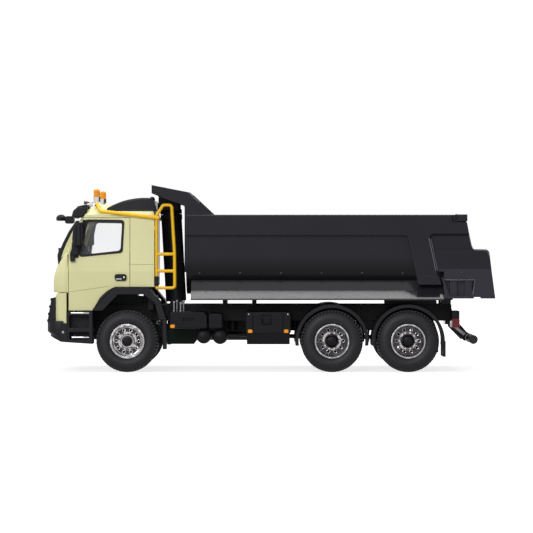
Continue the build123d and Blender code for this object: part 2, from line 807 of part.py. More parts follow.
def entry_steps():
    """Step boxes under both doors with two open treads."""
    y = (15.5, BUMPER_HALF - 0.2)
    body = side_prism(
        polygon((STEP_REAR_X, 10.2), (STEP_FRONT_X, 10.8), (STEP_FRONT_X, 22.0), (STEP_REAR_X, 22.0)), *y
    )
    for z_low, z_high in ((11.8, 14.6), (16.0, 20.6)):
        opening = rounded_rect(0.5, (STEP_REAR_X + 1.2, STEP_FRONT_X - 0.8), (z_low, z_high))
        body = body - side_prism(opening, y[1] - 4.4, y[1] + 1)
    hanger = block((66.0, 69.0), (FRAME_HALF, y[0]), (18.6, 20.6))
    return pair(body + hanger)


def arch_line(inset):
    """Points of the mudguard's outer edge, moved in towards the wheel by inset."""
    drop = inset + SEAT_GAP
    run = ARCH_FRONT_X - ARCH_SHOULDER_X
    fall = ARCH_TOP_Z - DOOR_BOTTOM_Z
    length = hypot(run, fall)
    foot_z = DOOR_BOTTOM_Z
    top = ARCH_TOP_Z - drop
    return [
        (ARCH_FRONT_X - drop * length / fall, foot_z),
        (ARCH_SHOULDER_X - drop * (length - run) / fall, top),
        (44.3 + 0.6 * inset, top),
        (39.7 + 0.8 * inset, 25.2),
        (37.6 + inset, 19.0),
    ]


def arch_band(depth):
    outer = arch_line(0)
    inner = arch_line(depth)
    return polygon(*outer, *reversed(inner))


FLAP_X = (37.6, 38.9)
FLAP_BOTTOM_Z = 8.3


def front_mudguards():
    """Arched guards over the front wheels with a deep outer lip and a hanging flap."""
    y_out = BUMPER_HALF
    y_in = 14.6
    shell = side_prism(arch_band(0.9), y_in, y_out)
    lip = side_prism(arch_band(2.6), y_out - 1.0, y_out)
    flap = block(FLAP_X, (17.0, y_out - 0.3), (FLAP_BOTTOM_Z, 19.2))
    stay = block((42.6, 44.6), (FRAME_HALF, y_in + 1.4), (FRAME_TOP - 1.8, FRAME_TOP - 0.4))
    post = block((42.6, 44.6), (y_in, y_in + 1.4), (FRAME_TOP - 1.8, 29.2))
    return pair(fused(shell, lip, flap, stay, post))


GUARD_OUT_R = 13.2
GUARD_IN_R = 12.0
GUARD_Y = (11.2, BUMPER_HALF)
GUARD_LIP = 0.9


def rear_guard(x):
    """Half-round guard over one twin wheel with an outer lip ring."""
    def ring(outer, inner, y_low, y_high):
        disc = rod((x, y_low, AXLE_Z), (x, y_high, AXLE_Z), outer)
        disc = disc - rod((x, y_low - 1, AXLE_Z), (x, y_high + 1, AXLE_Z), inner)
        return disc - block((x - 20, x + 20), (0, 40), (-10, AXLE_Z - 1.6))

    shell = ring(GUARD_OUT_R, GUARD_OUT_R - 0.6, *GUARD_Y)
    lip = ring(GUARD_OUT_R, GUARD_IN_R, GUARD_Y[1] - GUARD_LIP, GUARD_Y[1])
    stay = rod((x, FRAME_HALF, FRAME_TOP - 0.6), (x, GUARD_Y[0] + 2.0, FRAME_TOP - 0.6), 0.55)
    return fused(shell, lip, stay)


def rear_mudguards():
    first, second = REAR_AXLES_X
    front = rear_guard(first)
    rear = rear_guard(second)
    flap_x = second - GUARD_OUT_R
    flap = block((flap_x - 0.3, flap_x + 0.6), (GUARD_Y[0] + 0.6, GUARD_Y[1] - 0.4), (5.6, AXLE_Z))
    rear = rear + flap
    return solids_of(front, rear, mirrored(front), mirrored(rear))


# Rear end

LAMP_X = (FRAME_REAR_X + 0.8, FRAME_REAR_X - 1.8)
LAMP_SPAN_Y = (12.0, 22.6)
UNDERRUN_X = FRAME_REAR_X - 6.7
UNDERRUN_Z = 11.8
UNDERRUN_R = 1.4


def underrun_bar():
    """Round bar on two drop arms, with the lamp boxes above it."""
    bar = rod((UNDERRUN_X, -23.4, UNDERRUN_Z), (UNDERRUN_X, 23.4, UNDERRUN_Z), UNDERRUN_R)
    for side in (1, -1):
        arm = side_prism(
            polygon(
                (FRAME_REAR_X, 19.6),
                (FRAME_REAR_X, FRAME_BOTTOM - 2.6),
                (UNDERRUN_X + 2.1, UNDERRUN_Z - 1.0),
                (UNDERRUN_X, UNDERRUN_Z - 1.0),
                (UNDERRUN_X, UNDERRUN_Z + 1.0),
                (FRAME_REAR_X - 2.6, 17.4),
                (FRAME_REAR_X - 1.6, 19.6),
            ),
            *sorted((side * (FRAME_HALF - 1.6), side * FRAME_HALF)),
        )
        lamp_box = block(LAMP_X, (side * LAMP_SPAN_Y[0], side * LAMP_SPAN_Y[1]), (19.2, 22.0))
        arm_y = (side * (FRAME_HALF - 1.0), side * (LAMP_SPAN_Y[0] + 1.0))
        lamp_arm = block((FRAME_REAR_X, FRAME_REAR_X - 1.4), arm_y, (19.4, 20.6))
        bar = fused(bar, arm, lamp_box, lamp_arm)
    return bar


def tail_lamps():
    left = block(LAMP_X, LAMP_SPAN_Y, (16.1, 19.2))
    return pair(left)


MARKER_TABLE = ((35.4, BOX_OUT_Y, 16.6), (7.4, BOX_OUT_Y, 14.8), (-5.6, BOX_OUT_Y, 14.8))


def side_markers():
    """Small side lamps on the left boxes; columns x, y, z."""
    lamps = []
    for x, y, z in MARKER_TABLE:
        outline = rounded_rect(0.4, (x - 0.8, x + 0.8), (z - 0.6, z + 0.6))
        lamps.append(side_prism(outline, y, y + 0.5))
    return solids_of(*lamps)


# Cab

CAB_TABLE = (
    # height, front x, half width, rear x, corner depth, corner width
    (20.0, 77.5, 23.6, CAB_REAR_X, 3.6, 6.5),
    (BELT_Z, 77.7, 23.8, CAB_REAR_X, 3.6, 6.5),
    (GUTTER_Z, 68.8, 22.6, CAB_REAR_X, 1.6, 4.5),
    (58.4, 67.4, 21.2, CAB_REAR_X + 0.5, 1.8, 4.5),
    (60.0, 65.6, 17.5, CAB_REAR_X + 1.4, 2.0, 4.5),
    (60.7, 63.0, 12.5, CAB_REAR_X + 3.0, 2.0, 4.0),
)


def cab_row(z):
    """Row of the cab table at any height, by straight interpolation."""
    for lower, upper in zip(CAB_TABLE, CAB_TABLE[1:]):
        if lower[0] <= z <= upper[0]:
            share = (z - lower[0]) / (upper[0] - lower[0])
            return [a + (b - a) * share for a, b in zip(lower, upper)]
    return list(CAB_TABLE[-1])


def cab_form(inset, z_low, z_high):
    """Cab outline between two heights, moved inwards by inset."""
    heights = [z_low] + [row[0] for row in CAB_TABLE if z_low < row[0] < z_high] + [z_high]
    sections = []
    for z in heights:
        _, front, half, rear, depth, width = cab_row(z)
        face = nose_plan(front - inset, rear + inset, half - inset, depth, width, WINDSCREEN_BULGE)
        sections.append(Plane.XY.offset(z) * face)
    return loft(sections, ruled=True)


def door_outline(gap, foot_z):
    """Door's side outline shrunk by gap; foot_z is the height of its lower edge."""
    lower = DOOR_BOTTOM_Z - foot_z
    front = DOOR_FRONT_X - gap
    top = DOOR_TOP_Z - gap
    rear = DOOR_REAR_X + gap
    return polygon(
        (front, foot_z),
        (front, 43.0),
        (67.9 - gap, top),
        (rear, top),
        (rear, ARCH_TOP_Z - lower),
        (ARCH_SHOULDER_X, ARCH_TOP_Z - lower),
        (ARCH_FRONT_X, foot_z),
    )


def window_outline(margin):
    return rounded(
        1.2,
        (69.0 + margin, 41.9 - margin),
        (53.8 - margin, 43.5 - margin),
        (53.2 - margin, 54.5 + margin),
        (66.5 + margin, 54.7 + margin),
    )


def windscreen_outline(margin):
    return rounded(
        1.6,
        (-19.6 - margin, 37.5 - margin),
        (19.6 + margin, 37.5 - margin),
        (18.6 + margin, 55.4 + margin),
        (-18.6 - margin, 55.4 + margin),
    )


def cab_walls():
    """Hollow cab skin with its lower edge cut along the mudguards."""
    skin = cab_form(0, 20.0, 60.7) - cab_form(CAB_WALL, 20.0, CAB_CEILING_Z)
    lower_edge = polygon(
        (40.0, 10.0), (40.0, ARCH_TOP_Z), (ARCH_SHOULDER_X, ARCH_TOP_Z), (ARCH_FRONT_X, DOOR_BOTTOM_Z),
        (DOOR_FRONT_X, DOOR_BOTTOM_Z), (DOOR_FRONT_X, FRONT_PANEL_Z), (90.0, FRONT_PANEL_Z), (90.0, 10.0),
    )
    return skin - side_prism(lower_edge, -30.0, 30.0)


DOOR_Y = (19.5, 30.0)
PANEL_LINE_Z = 38.7
GROOVE = 0.16


def cab_shell(walls):
    """Cab with door and windscreen openings and its floor."""
    shell = walls
    for side in (1, -1):
        y = sorted((side * DOOR_Y[0], side * DOOR_Y[1]))
        shell = shell - side_prism(door_outline(0, DOOR_BOTTOM_Z - 3.0), *y)
        line_y = cab_row(PANEL_LINE_Z)[2] - GROOVE
        line_z = (PANEL_LINE_Z, PANEL_LINE_Z + GROOVE)
        shell = shell - block((CAB_REAR_X + 0.3, DOOR_REAR_X), (side * line_y, side * 30.0), line_z)
    shell = shell - front_prism(windscreen_outline(0), 60.0, 90.0)
    shell = shell - vent_skin(VENT_DEPTH + RUNNING_GAP, RUNNING_GAP)
    floor = cab_form(CAB_WALL, CAB_FLOOR_Z, CAB_FLOOR_Z + CAB_FLOOR)
    floor = floor & block((30, 90), (-22.4, 22.4), (20, 40))
    return shell + floor


def glass_skin():
    z_low = BELT_Z - 4.0
    z_high = GUTTER_Z
    return cab_form(GLASS_INSET, z_low, z_high) - cab_form(GLASS_INSET + GLASS, z_low, z_high)


def door(walls):
    """Left door with its window opening and the pressed line low on its side."""
    y = DOOR_Y
    panel = walls & side_prism(door_outline(SHUT_GAP, DOOR_BOTTOM_Z), *y)
    line = polygon(
        (DOOR_FRONT_X, 28.7), (DOOR_FRONT_X, 28.7 + GROOVE), (58.6, ARCH_TOP_Z + GROOVE), (58.6, ARCH_TOP_Z)
    )
    depth = cab_row(29.0)[2] - GROOVE
    return panel - side_prism(window_outline(0), *y) - side_prism(line, depth, 30.0)


def door_glass():
    return glass_skin() & side_prism(window_outline(-RUNNING_GAP), *DOOR_Y)


def windscreen():
    return glass_skin() & front_prism(windscreen_outline(-RUNNING_GAP), 60.0, 90.0)


SEAL_PROUD = 0.18
SEAL_OUT = 0.45
SEAL_IN = 0.4


def seal_skin():
    z_low = BELT_Z - 4.0
    return cab_form(-SEAL_PROUD, z_low, GUTTER_Z) - cab_form(0, z_low, GUTTER_Z)


def door_seal():
    """Black rubber frame round the left door's window."""
    frame = side_prism(window_outline(SEAL_OUT), *DOOR_Y) - side_prism(window_outline(-SEAL_IN), *DOOR_Y)
    return seal_skin() & frame


COWL_Z = (36.6, 41.4)
COWL_HALF = 18.4
COWL_PROUD = 0.7
WIPERS_Y = (9.0, -7.0)
WIPER_HALF = 6.6


def windscreen_seal():
    """Black frame round the windscreen with the cowl panel and two parked wipers below it."""
    frame = front_prism(windscreen_outline(SEAL_OUT), 60.0, 90.0)
    frame = frame - front_prism(windscreen_outline(-SEAL_IN), 60.0, 90.0)
    seal = seal_skin() & frame
    z_low = BELT_Z - 4.0
    skin = cab_form(-COWL_PROUD, z_low, GUTTER_Z) - cab_form(0, z_low, GUTTER_Z)
    cowl = skin & block((60, 90), (-COWL_HALF, COWL_HALF), COWL_Z)
    for y in WIPERS_Y:
        front_side = ((76.9, 38.4), (77.9, 38.8), (78.2, 42.0), (77.5, 44.7))
        arm = polygon(*front_side, (76.6, 44.9), (77.1, 42.0), (76.6, 40.4))
        spindle = rod((76.0, y, 39.6), (77.6, y, 39.6), 0.6)
        blade = block((76.5, 77.3), (y - WIPER_HALF, y + WIPER_HALF), (44.1, 44.8))
        cowl = fused(cowl, side_prism(arm, y - 0.4, y + 0.4), spindle, blade)
    return seal + cowl


MIRROR_X = (67.9, 69.9)
MIRROR_Y = (24.4, 28.8)
MIRROR_Z = (45.7, 54.0)
HANDLE_X = (52.0, 56.2)
HANDLE_Z = (33.0, 35.4)


def door_fittings():
    """Mirror head on two arms, low bracket and handle of the left door."""
    head = plan_prism(rounded_rect(0.7, MIRROR_X, MIRROR_Y), *MIRROR_Z)
    low_row = cab_row(42.0)
    side_low = low_row[2]
    bracket = block((70.6, 72.2), (side_low, side_low + 1.6), (40.0, 43.4))
    lower_arm = block((70.6, 71.6), (side_low + 0.4, MIRROR_Y[0] + 1.0), (42.4, 43.4))
    riser = block((69.4, 71.6), (MIRROR_Y[0], MIRROR_Y[0] + 1.0), (42.4, MIRROR_Z[0] + 1.0))
    side_handle = cab_row(34.2)[2]
    handle = side_prism(rounded_rect(0.8, HANDLE_X, HANDLE_Z), side_handle, side_handle + 0.7)
    cab = cab_form(0, 30.0, GUTTER_Z)
    return solids_of(fused(head, bracket, lower_arm, riser) - cab, handle - cab, door_seal())


DASH_TOP_Z = 41.6


def dashboard():
    floor_z = CAB_FLOOR_Z + CAB_FLOOR
    outline = polygon(
        (74.2, floor_z),
        (74.2, 36.0),
        (73.4, DASH_TOP_Z - 0.6),
        (69.6, DASH_TOP_Z),
        (67.6, 39.6),
        (69.4, floor_z),
    )
    return side_prism(outline, -17.0, 17.0)


def cab_interior():
    """One-piece inner tub: floor mat, dashboard, two low seats and rear shelf."""
    floor_z = CAB_FLOOR_Z + CAB_FLOOR
    tub = block((44.0, 74.4), (-20.8, 20.8), (floor_z, floor_z + 0.8)) + dashboard()
    for y in (10.6, -10.6):
        seat = side_prism(
            rounded(
                0.6,
                (51.0, floor_z),
                (60.6, floor_z),
                (60.6, floor_z + 5.0),
                (54.4, floor_z + 4.4),
                (52.0, floor_z + 11.4),
                (49.0, floor_z + 11.4),
                (50.0, floor_z + 3.8),
            ),
            y - 5.0,
            y + 5.0,
        )
        tub = tub + seat
    return tub


WHEEL_HUB = (66.2, 10.6, 42.6)


def steering_wheel():
    """Steering wheel on its column, on the left."""
    tilt = Plane(origin=WHEEL_HUB, z_dir=(-0.5, 0, 0.87))
    ring = tilt * Torus(3.7, 0.36)
    spokes = tilt * Box(7.2, 0.7, 0.5) + tilt * Cylinder(1.0, 0.7)
    column = rod(WHEEL_HUB, (70.0, WHEEL_HUB[1], 36.2), 0.5)
    return fused(ring, spokes, column) - dashboard()


VISOR_HALF = 21.6


def sun_visor():
    """Visor over the windscreen with end plates, and the front mirror on its arm at the right."""
    plate = polygon((72.8, 55.8), (70.0, 59.9), (66.4, 60.6), (66.2, 59.9), (69.4, 59.1), (72.0, 55.8))
    hood = side_prism(plate, -VISOR_HALF, VISOR_HALF)
    ends = polygon((72.8, 55.8), (70.0, 59.9), (66.4, 60.4), (66.4, 57.2), (69.4, 56.2))
    for side in (1, -1):
        hood = hood + side_prism(ends, *sorted((side * VISOR_HALF, side * (VISOR_HALF - 0.9))))
    hood = hood & plan_prism(nose_plan(72.8, 60.0, VISOR_HALF, 4.0, 9.0, 1.2), 50.0, 65.0)
    hood = hood - cab_form(-RUNNING_GAP, BELT_Z, 60.7)
    arm = tube([(70.6, -16.0, 57.6), (73.4, -16.0, 57.0), (75.2, -16.0, 56.4)], 0.4, 0.8)
    mirror_head = side_prism(rounded_rect(0.9, (74.0, 77.4), (54.0, 56.8)), -18.4, -13.6)
    return fused(hood, arm, mirror_head)


DEFLECTOR_HALF = 18.6


def roof_deflector():
    """Wedge-shaped air deflector on the rear half of the roof."""
    crown = ThreePointArc((59.0, 59.6), (51.4, 62.4), (44.2, 63.0))
    rest = Polyline(crown @ 1, (42.6, 62.2), (42.3, 57.6), (59.0, 57.6), crown @ 0)
    wedge = side_prism(make_face([crown, rest]), -DEFLECTOR_HALF, DEFLECTOR_HALF)
    plan = plan_prism(nose_plan(59.6, 42.0, DEFLECTOR_HALF, 6.0, 7.0, 1.6), 50.0, 70.0)
    knob = Pos(43.6, 6.0, 62.6) * Sphere(1.1)
    return (wedge & plan) + knob - cab_form(-RUNNING_GAP, BELT_Z, 60.7)


RAIL_R = 0.68
LADDER_R = 0.58
RAIL_Y = 23.5
LADDER_Y = 22.8
LADDER_STILES_X = (41.2, 34.7)
LADDER_RUNGS_Z = (42.6, 36.5)


def handrail_and_ladder():
    """Roof rails on both sides with an access ladder behind the cab on the left."""
    rail = tube(
        [
            (63.2, BEACON_Y + 0.8, 60.85),
            (62.8, 20.2, 60.7),
            (61.2, RAIL_Y, 58.0),
            (51.0, RAIL_Y, 56.9),
            (40.2, RAIL_Y, 55.6),
        ],
        RAIL_R,
        1.2,
    )
    foot = rod((46.0, RAIL_Y, 56.3), (46.0, cab_row(56.3)[2] + RUNNING_GAP, 56.3), 0.5)
    rail = rail + foot
    front, rear = LADDER_STILES_X
    top = 60.3
    loop = tube(
        [
            (41.6, LADDER_Y, 55.8), (38.8, LADDER_Y, top), (35.7, LADDER_Y, top), (rear, LADDER_Y, 43.0),
            (rear - 0.1, LADDER_Y, 30.4), (CAB_REAR_X - 0.6, LADDER_Y, 30.4),
        ],
        LADDER_R,
        1.0,
    )
    stile = rod((front, LADDER_Y, 55.4), (front, LADDER_Y, 30.4), LADDER_R)
    ladder = fused(loop, stile)
    for z in LADDER_RUNGS_Z:
        ladder = ladder + rod((front, LADDER_Y, z), (rear, LADDER_Y, z), LADDER_R)
    for z in (52.0, 34.0):
        ladder = ladder + block((front, CAB_REAR_X), (LADDER_Y - 0.5, LADDER_Y + 0.3), (z - 0.8, z + 0.8))
    return solids_of(rail + ladder, mirrored(rail))


BEACON_X = 63.2
BEACON_Y = 16.6
BEACON_BASE_R = 1.35
BEACON_LENS_R = 1.15
BEACON_Z = (60.0, 61.6, 63.3, 66.2)


def beacon_base():
    """Chrome foot of one beacon, standing on the roof rail's end."""
    foot_z, skirt_z, seat_z, _ = BEACON_Z
    stem = rod((BEACON_X, BEACON_Y, foot_z), (BEACON_X, BEACON_Y, skirt_z), 0.7)
    cup = rod((BEACON_X, BEACON_Y, skirt_z), (BEACON_X, BEACON_Y, seat_z), BEACON_BASE_R)
    return stem + cup - cab_form(-RUNNING_GAP, BELT_Z, 60.7)


def beacon_lens():
    _, _, seat_z, top_z = BEACON_Z
    lens = Solid.make_cylinder(BEACON_LENS_R, top_z - seat_z, Plane(origin=(BEACON_X, BEACON_Y, seat_z)))
    return fillet(lens.edges().sort_by(Axis.Z)[-1], BEACON_LENS_R * 0.7)


HORN_Y = (8.4, 11.6)


def air_horns():
    """Twin trumpets on the roof, on a shared foot."""
    horns = block((65.2, 66.2), (HORN_Y[0] - 0.4, HORN_Y[1] + 0.4), (59.4, 61.6))
    for y in HORN_Y:
        bell = [(0, 0), (0.35, 0), (0.45, 2.0), (1.05, 3.6), (0.85, 3.6), (0, 2.6)]
        horn = Pos(64.6, y, 61.8) * (Rot(Y=90) * revolve(Plane.XZ * polygon(*bell), Axis.Z))
        horns = horns + horn
    return horns - cab_form(-RUNNING_GAP, BELT_Z, 60.7)


# Load bed

def pipe_outline(inset):
    """Half-pipe section of the bed, closed at the top, moved inwards by inset."""
    half = BED_SHELL_HALF - inset
    radius = BED_PIPE_R - inset
    centre_y = BED_SHELL_HALF - BED_PIPE_R
    centre_z = BED_FLOOR_Z + BED_PIPE_R
    floor = centre_z - radius
    diagonal = radius * sqrt(0.5)
    right = Line((-half, BED_TOP_Z), (-half, centre_z))
    right_middle = (-centre_y - diagonal, centre_z - diagonal)
    right_arc = ThreePointArc((-half, centre_z), right_middle, (-centre_y, floor))
    bottom = Line((-centre_y, floor), (centre_y, floor))
    left_arc = ThreePointArc((centre_y, floor), (centre_y + diagonal, centre_z - diagonal), (half, centre_z))
    left = Line((half, centre_z), (half, BED_TOP_Z))
    top = Line((half, BED_TOP_Z), (-half, BED_TOP_Z))
    return make_face([right, right_arc, bottom, left_arc, left, top])


TAIL_LEDGE_Z = BED_TOP_Z - 12.4
TAIL_EDGE = (
    (-70.7, NOTCH_Z),
    (-72.6, TAIL_LEDGE_Z),
    (-78.7, TAIL_LEDGE_Z - 0.1),
    (TAIL_X, CHEEK_BOTTOM_Z),
)
TAIL_CORNER_R = 1.6
LUG_X = GATE_PIVOT_X - 1.3


def bed_solid(inset=0):
    return front_prism(pipe_outline(inset), TAIL_X - 5, BED_FRONT_X + 5)


def tail_trim():
    """Everything of the bed's side view that is kept behind the front wall."""
    front = BED_FRONT_X - BED_WALL
    top_edge = ((front, 20.0), (front, BED_TOP_Z), (LUG_X, BED_TOP_Z), (LUG_X, NOTCH_Z))
    outline = eased(TAIL_CORNER_R, TAIL_EDGE[1:3], *top_edge, *TAIL_EDGE, (TAIL_X, 20.0))
    return side_prism(outline, -30.0, 30.0)


WELL_HALF = BARREL_R + 1.1
WELL_WALL = 0.8
WELL_TOP_Z = BED_TOP_Z - 0.8
WELL_FOOT_X = BED_FRONT_X - 8.8


def well_x(z):
    """Slanted back of the hoist well at a height."""
    share = (WELL_TOP_Z - z) / (WELL_TOP_Z - RUNNER_BOTTOM_Z)
    return BED_FRONT_X - share * (BED_FRONT_X - WELL_FOOT_X)


def well_box():
    outline = polygon(
        (well_x(WELL_TOP_Z) - WELL_WALL, WELL_TOP_Z),
        (well_x(BED_FLOOR_Z) - WELL_WALL, BED_FLOOR_Z),
        (BED_FRONT_X, BED_FLOOR_Z),
        (BED_FRONT_X, WELL_TOP_Z),
    )
    return side_prism(outline, -WELL_HALF - WELL_WALL, WELL_HALF + WELL_WALL)


def well_void():
    low = BED_FLOOR_Z - 6.0
    front = BED_FRONT_X + 3.0
    outline = polygon((well_x(WELL_TOP_Z), WELL_TOP_Z), (well_x(low), low), (front, low), (front, WELL_TOP_Z))
    return side_prism(outline, -WELL_HALF, WELL_HALF)


def bed_shell():
    """Half-pipe floor and sides, ending in the stepped tail chute, with the tailgate's pins."""
    shell = ((bed_solid() - bed_solid(BED_WALL)) & tail_trim()) - well_box()
    inner_y = BED_SHELL_HALF - BED_WALL
    for side in (1, -1):
        start = (GATE_PIVOT_X, side * inner_y, GATE_PIVOT_Z)
        end = (GATE_PIVOT_X, side * BED_HALF, GATE_PIVOT_Z)
        shell = shell + rod(start, end, GATE_PIN_R)
    return shell


CANOPY_HALF = BED_SHELL_HALF + 0.85
CANOPY_SHEET = 0.8
CANOPY_RISE = 10.7
CANOPY_LINE = ((42.9, BED_TOP_Z + CANOPY_RISE), (29.1, BED_TOP_Z + 8.0), (20.5, BED_TOP_Z))
HEADBOARD_TOP_Z = BED_TOP_Z + 7.4


def bed_front_wall():
    """Front wall with its headboard up to the canopy and the sloping well that clears the hoist."""
    x = (BED_FRONT_X - BED_WALL, BED_FRONT_X)
    wall = front_prism(pipe_outline(0), *x)
    headboard = block(x, (-CANOPY_HALF + 1.0, CANOPY_HALF - 1.0), (BED_TOP_Z, HEADBOARD_TOP_Z))
    wall = wall + headboard
    for y in (-16.0, -8.0, 8.0, 16.0):
        wall = wall + block((BED_FRONT_X, BED_FRONT_X + 0.7), (y - 0.6, y + 0.6), (36.0, BED_TOP_Z + 5.2))
    return wall + well_box() - well_void()


HOIST_BRACKET_Y = (2.1, 3.2)


def bed_canopy():
    """Cab guard over the hoist: sloped sheet, front lip, side gussets and hoist ears."""
    front, ridge, foot = CANOPY_LINE
    under_ridge = (ridge[0] + 0.3, ridge[1] - CANOPY_SHEET)
    sheet = polygon(front, ridge, under_ridge, (front[0], front[1] - CANOPY_SHEET))
    canopy = side_prism(sheet, -CANOPY_HALF, CANOPY_HALF)
    lip_x = (front[0] - CANOPY_SHEET, front[0])
    lip = block(lip_x, (-CANOPY_HALF, CANOPY_HALF), (front[1] - 1.8, front[1] - 0.4))
    canopy = canopy + lip
    under_edge = ((BED_FRONT_X, BED_TOP_Z), (31.2, BED_TOP_Z + 3.5), (37.5, BED_TOP_Z + 5.5))
    gusset = polygon(front, ridge, foot, *under_edge, (front[0], front[1] - 3.0))
    flange = polygon(ridge, foot, (foot[0] + 1.2, foot[1]), (ridge[0] + 0.4, ridge[1] - 0.8))
    for side in (1, -1):
        y = sorted((side * (CANOPY_HALF - 0.9), side * CANOPY_HALF))
        canopy = canopy + side_prism(gusset, *y)
        wide = sorted((side * (CANOPY_HALF - 2.0), side * CANOPY_HALF))
        canopy = canopy + side_prism(flange, *wide)
    eye_x, eye_z = HOIST_EYE
    ear_top = CANOPY_LINE[1][1] + 0.9
    ear_low = eye_z - 1.2
    ear = polygon(
        (eye_x + 1.6, ear_low), (eye_x - 1.6, ear_low), (eye_x - 2.6, ear_top), (eye_x + 2.6, ear_top + 0.3)
    )
    for side in (1, -1):
        y = sorted((side * HOIST_BRACKET_Y[0], side * HOIST_BRACKET_Y[1]))
        canopy = canopy + side_prism(ear, *y)
    wall_x = (BED_FRONT_X - BED_WALL - RUNNING_GAP, BED_FRONT_X + RUNNING_GAP)
    wall = block(wall_x, (-30.0, 30.0), (BED_RAIL_Z, HEADBOARD_TOP_Z + RUNNING_GAP))
    return canopy - (wall & block((0, 90), (-CANOPY_HALF + 0.95, CANOPY_HALF - 0.95), (0, 90)))


POST_IN_Y = BED_HALF - 4.0
POST_TOP_X = (-49.2, -57.3)
POST_FOOT_X = (-53.2, -61.2)
POST_FOOT_Z = 31.6
POST_CORNER_R = 1.2
CHEEK_Y = BED_SHELL_HALF + 0.6
CHEEK_FOOT_Y = BED_HALF - 0.1
CHEEK_WALL = 0.8
CHEEK_BREAK_Z = 36.3
CHEEK_FRONT_X = -59.4
FLANK_FRONT_X = -62.5
POCKET = ((-62.6, 33.2), (-73.6, 33.2), (-72.3, CHEEK_BOTTOM_Z + 0.9), (-64.6, CHEEK_BOTTOM_Z + 0.9))
POCKET_BACK_Y = BED_SHELL_HALF - 1.8
POCKET_RIBS_X = (-65.9, -71.3)
POCKET_RIB = 2.6


def on_post_rear(edge):
    """Whether an edge is the long outer one at the back of the slanted post."""
    middle = edge.center()
    share = (BED_RAIL_Z - middle.Z) / (BED_RAIL_Z - POST_FOOT_Z)
    post_x = POST_TOP_X[1] + share * (POST_FOOT_X[1] - POST_TOP_X[1])
    long_enough = edge.length > (BED_RAIL_Z - POST_FOOT_Z) / 2
    return long_enough and abs(middle.Y - BED_HALF) < 0.01 and abs(middle.X - post_x) < 0.2


def bed_rails():
    """Top rails, slanted rear posts and tail cheeks on both sides of the bed."""
    front_corner = (POST_TOP_X[0], BED_RAIL_Z)
    rear_corner = (POST_TOP_X[1], BED_RAIL_Z)
    outline = eased(
        POST_CORNER_R,
        (front_corner, rear_corner),
        (BED_FRONT_X, BED_RAIL_Z),
        (BED_FRONT_X, BED_TOP_Z),
        (NOTCH_X, BED_TOP_Z),
        (NOTCH_X, NOTCH_Z),
        TAIL_EDGE[0],
        (-71.6, BED_RAIL_Z),
        rear_corner,
        (POST_FOOT_X[1], POST_FOOT_Z),
        (POST_FOOT_X[0], POST_FOOT_Z),
        front_corner,
    )
    rail = side_prism(outline, POST_IN_Y, BED_HALF)
    top_edge = ((BED_FRONT_X + NOTCH_X) / 2, BED_HALF, BED_TOP_Z)
    rail = chamfer(edges_at(rail, top_edge), 0.3)
    rail = chamfer([edge for edge in rail.edges() if on_post_rear(edge)], 0.6)
    outline = polygon((-52.6, 34.6), (-60.6, 34.6), (-61.4, POST_FOOT_Z), (-53.2, POST_FOOT_Z))
    step = side_prism(outline, POST_IN_Y, BED_HALF + 0.15)
    upper = block((TAIL_X, CHEEK_FRONT_X), (BED_SHELL_HALF, CHEEK_Y), (CHEEK_BREAK_Z, TAIL_EDGE[2][1]))
    flank = front_prism(
        polygon(
            (CHEEK_Y - CHEEK_WALL, CHEEK_BREAK_Z),
            (CHEEK_FOOT_Y - CHEEK_WALL, CHEEK_BOTTOM_Z),
            (CHEEK_FOOT_Y, CHEEK_BOTTOM_Z),
            (CHEEK_Y, CHEEK_BREAK_Z),
        ),
        TAIL_X,
        FLANK_FRONT_X,
    )
    front_top = TAIL_EDGE[2][1]
    front_edge = ((CHEEK_FRONT_X, 20.0), (CHEEK_FRONT_X, front_top))
    trim = eased(TAIL_CORNER_R, TAIL_EDGE[2:3], *front_edge, *TAIL_EDGE[2:], (TAIL_X, 20.0))
    notch = block((-73.2, -75.6), (0, 40), (CHEEK_BOTTOM_Z - 1.0, CHEEK_BOTTOM_Z + 0.5))
    cheek = ((upper + flank) & side_prism(trim, 0.0, 40.0)) - notch
    pocket = side_prism(polygon(*POCKET), POCKET_BACK_Y + CHEEK_WALL, 40.0)
    tray = side_prism(offset(polygon(*POCKET), CHEEK_WALL, kind=Kind.INTERSECTION), POCKET_BACK_Y, CHEEK_Y)
    cheek = cheek + tray - pocket
    for x in POCKET_RIBS_X:
        rib_x = (x - POCKET_RIB / 2, x + POCKET_RIB / 2)
        cheek = cheek + block(rib_x, (POCKET_BACK_Y, CHEEK_Y - 0.3), (CHEEK_BOTTOM_Z + 0.5, 33.4))
    return pair(fused(rail, step, cheek) - bed_solid() - skirt_prism())


SKIRT_X = (28.8, -62.4)


def skirt_prism():
    """Left skirt before the bed's half-pipe is taken out of it."""
    centre_z = BED_FLOOR_Z + BED_PIPE_R
    top_y = BED_SHELL_HALF - BED_PIPE_R + sqrt(BED_PIPE_R**2 - (centre_z - SKIRT_TOP_Z) ** 2)
    bend_y = BED_HALF - 2.6
    inner_y = top_y - 4.9
    outline = polygon(
        (inner_y, SKIRT_TOP_Z),
        (top_y + 0.05, SKIRT_TOP_Z),
        (bend_y, SKIRT_BEND_Z),
        (BED_HALF, SKIRT_BOTTOM_Z + 0.5),
        (BED_HALF, SKIRT_BOTTOM_Z),
        (BED_HALF - SKIRT_WALL, SKIRT_BOTTOM_Z),
        (bend_y - SKIRT_WALL - 0.4, SKIRT_BEND_Z - 0.2),
        (top_y - 1.0, SKIRT_TOP_Z - 1.1),
        (inner_y, SKIRT_TOP_Z - 1.1),
    )
    return front_prism(outline, SKIRT_X[1], SKIRT_X[0])


def bed_skirts():
    """Two-step flared skirts along the lower edges of the bed."""
    return pair(skirt_prism() - bed_solid())


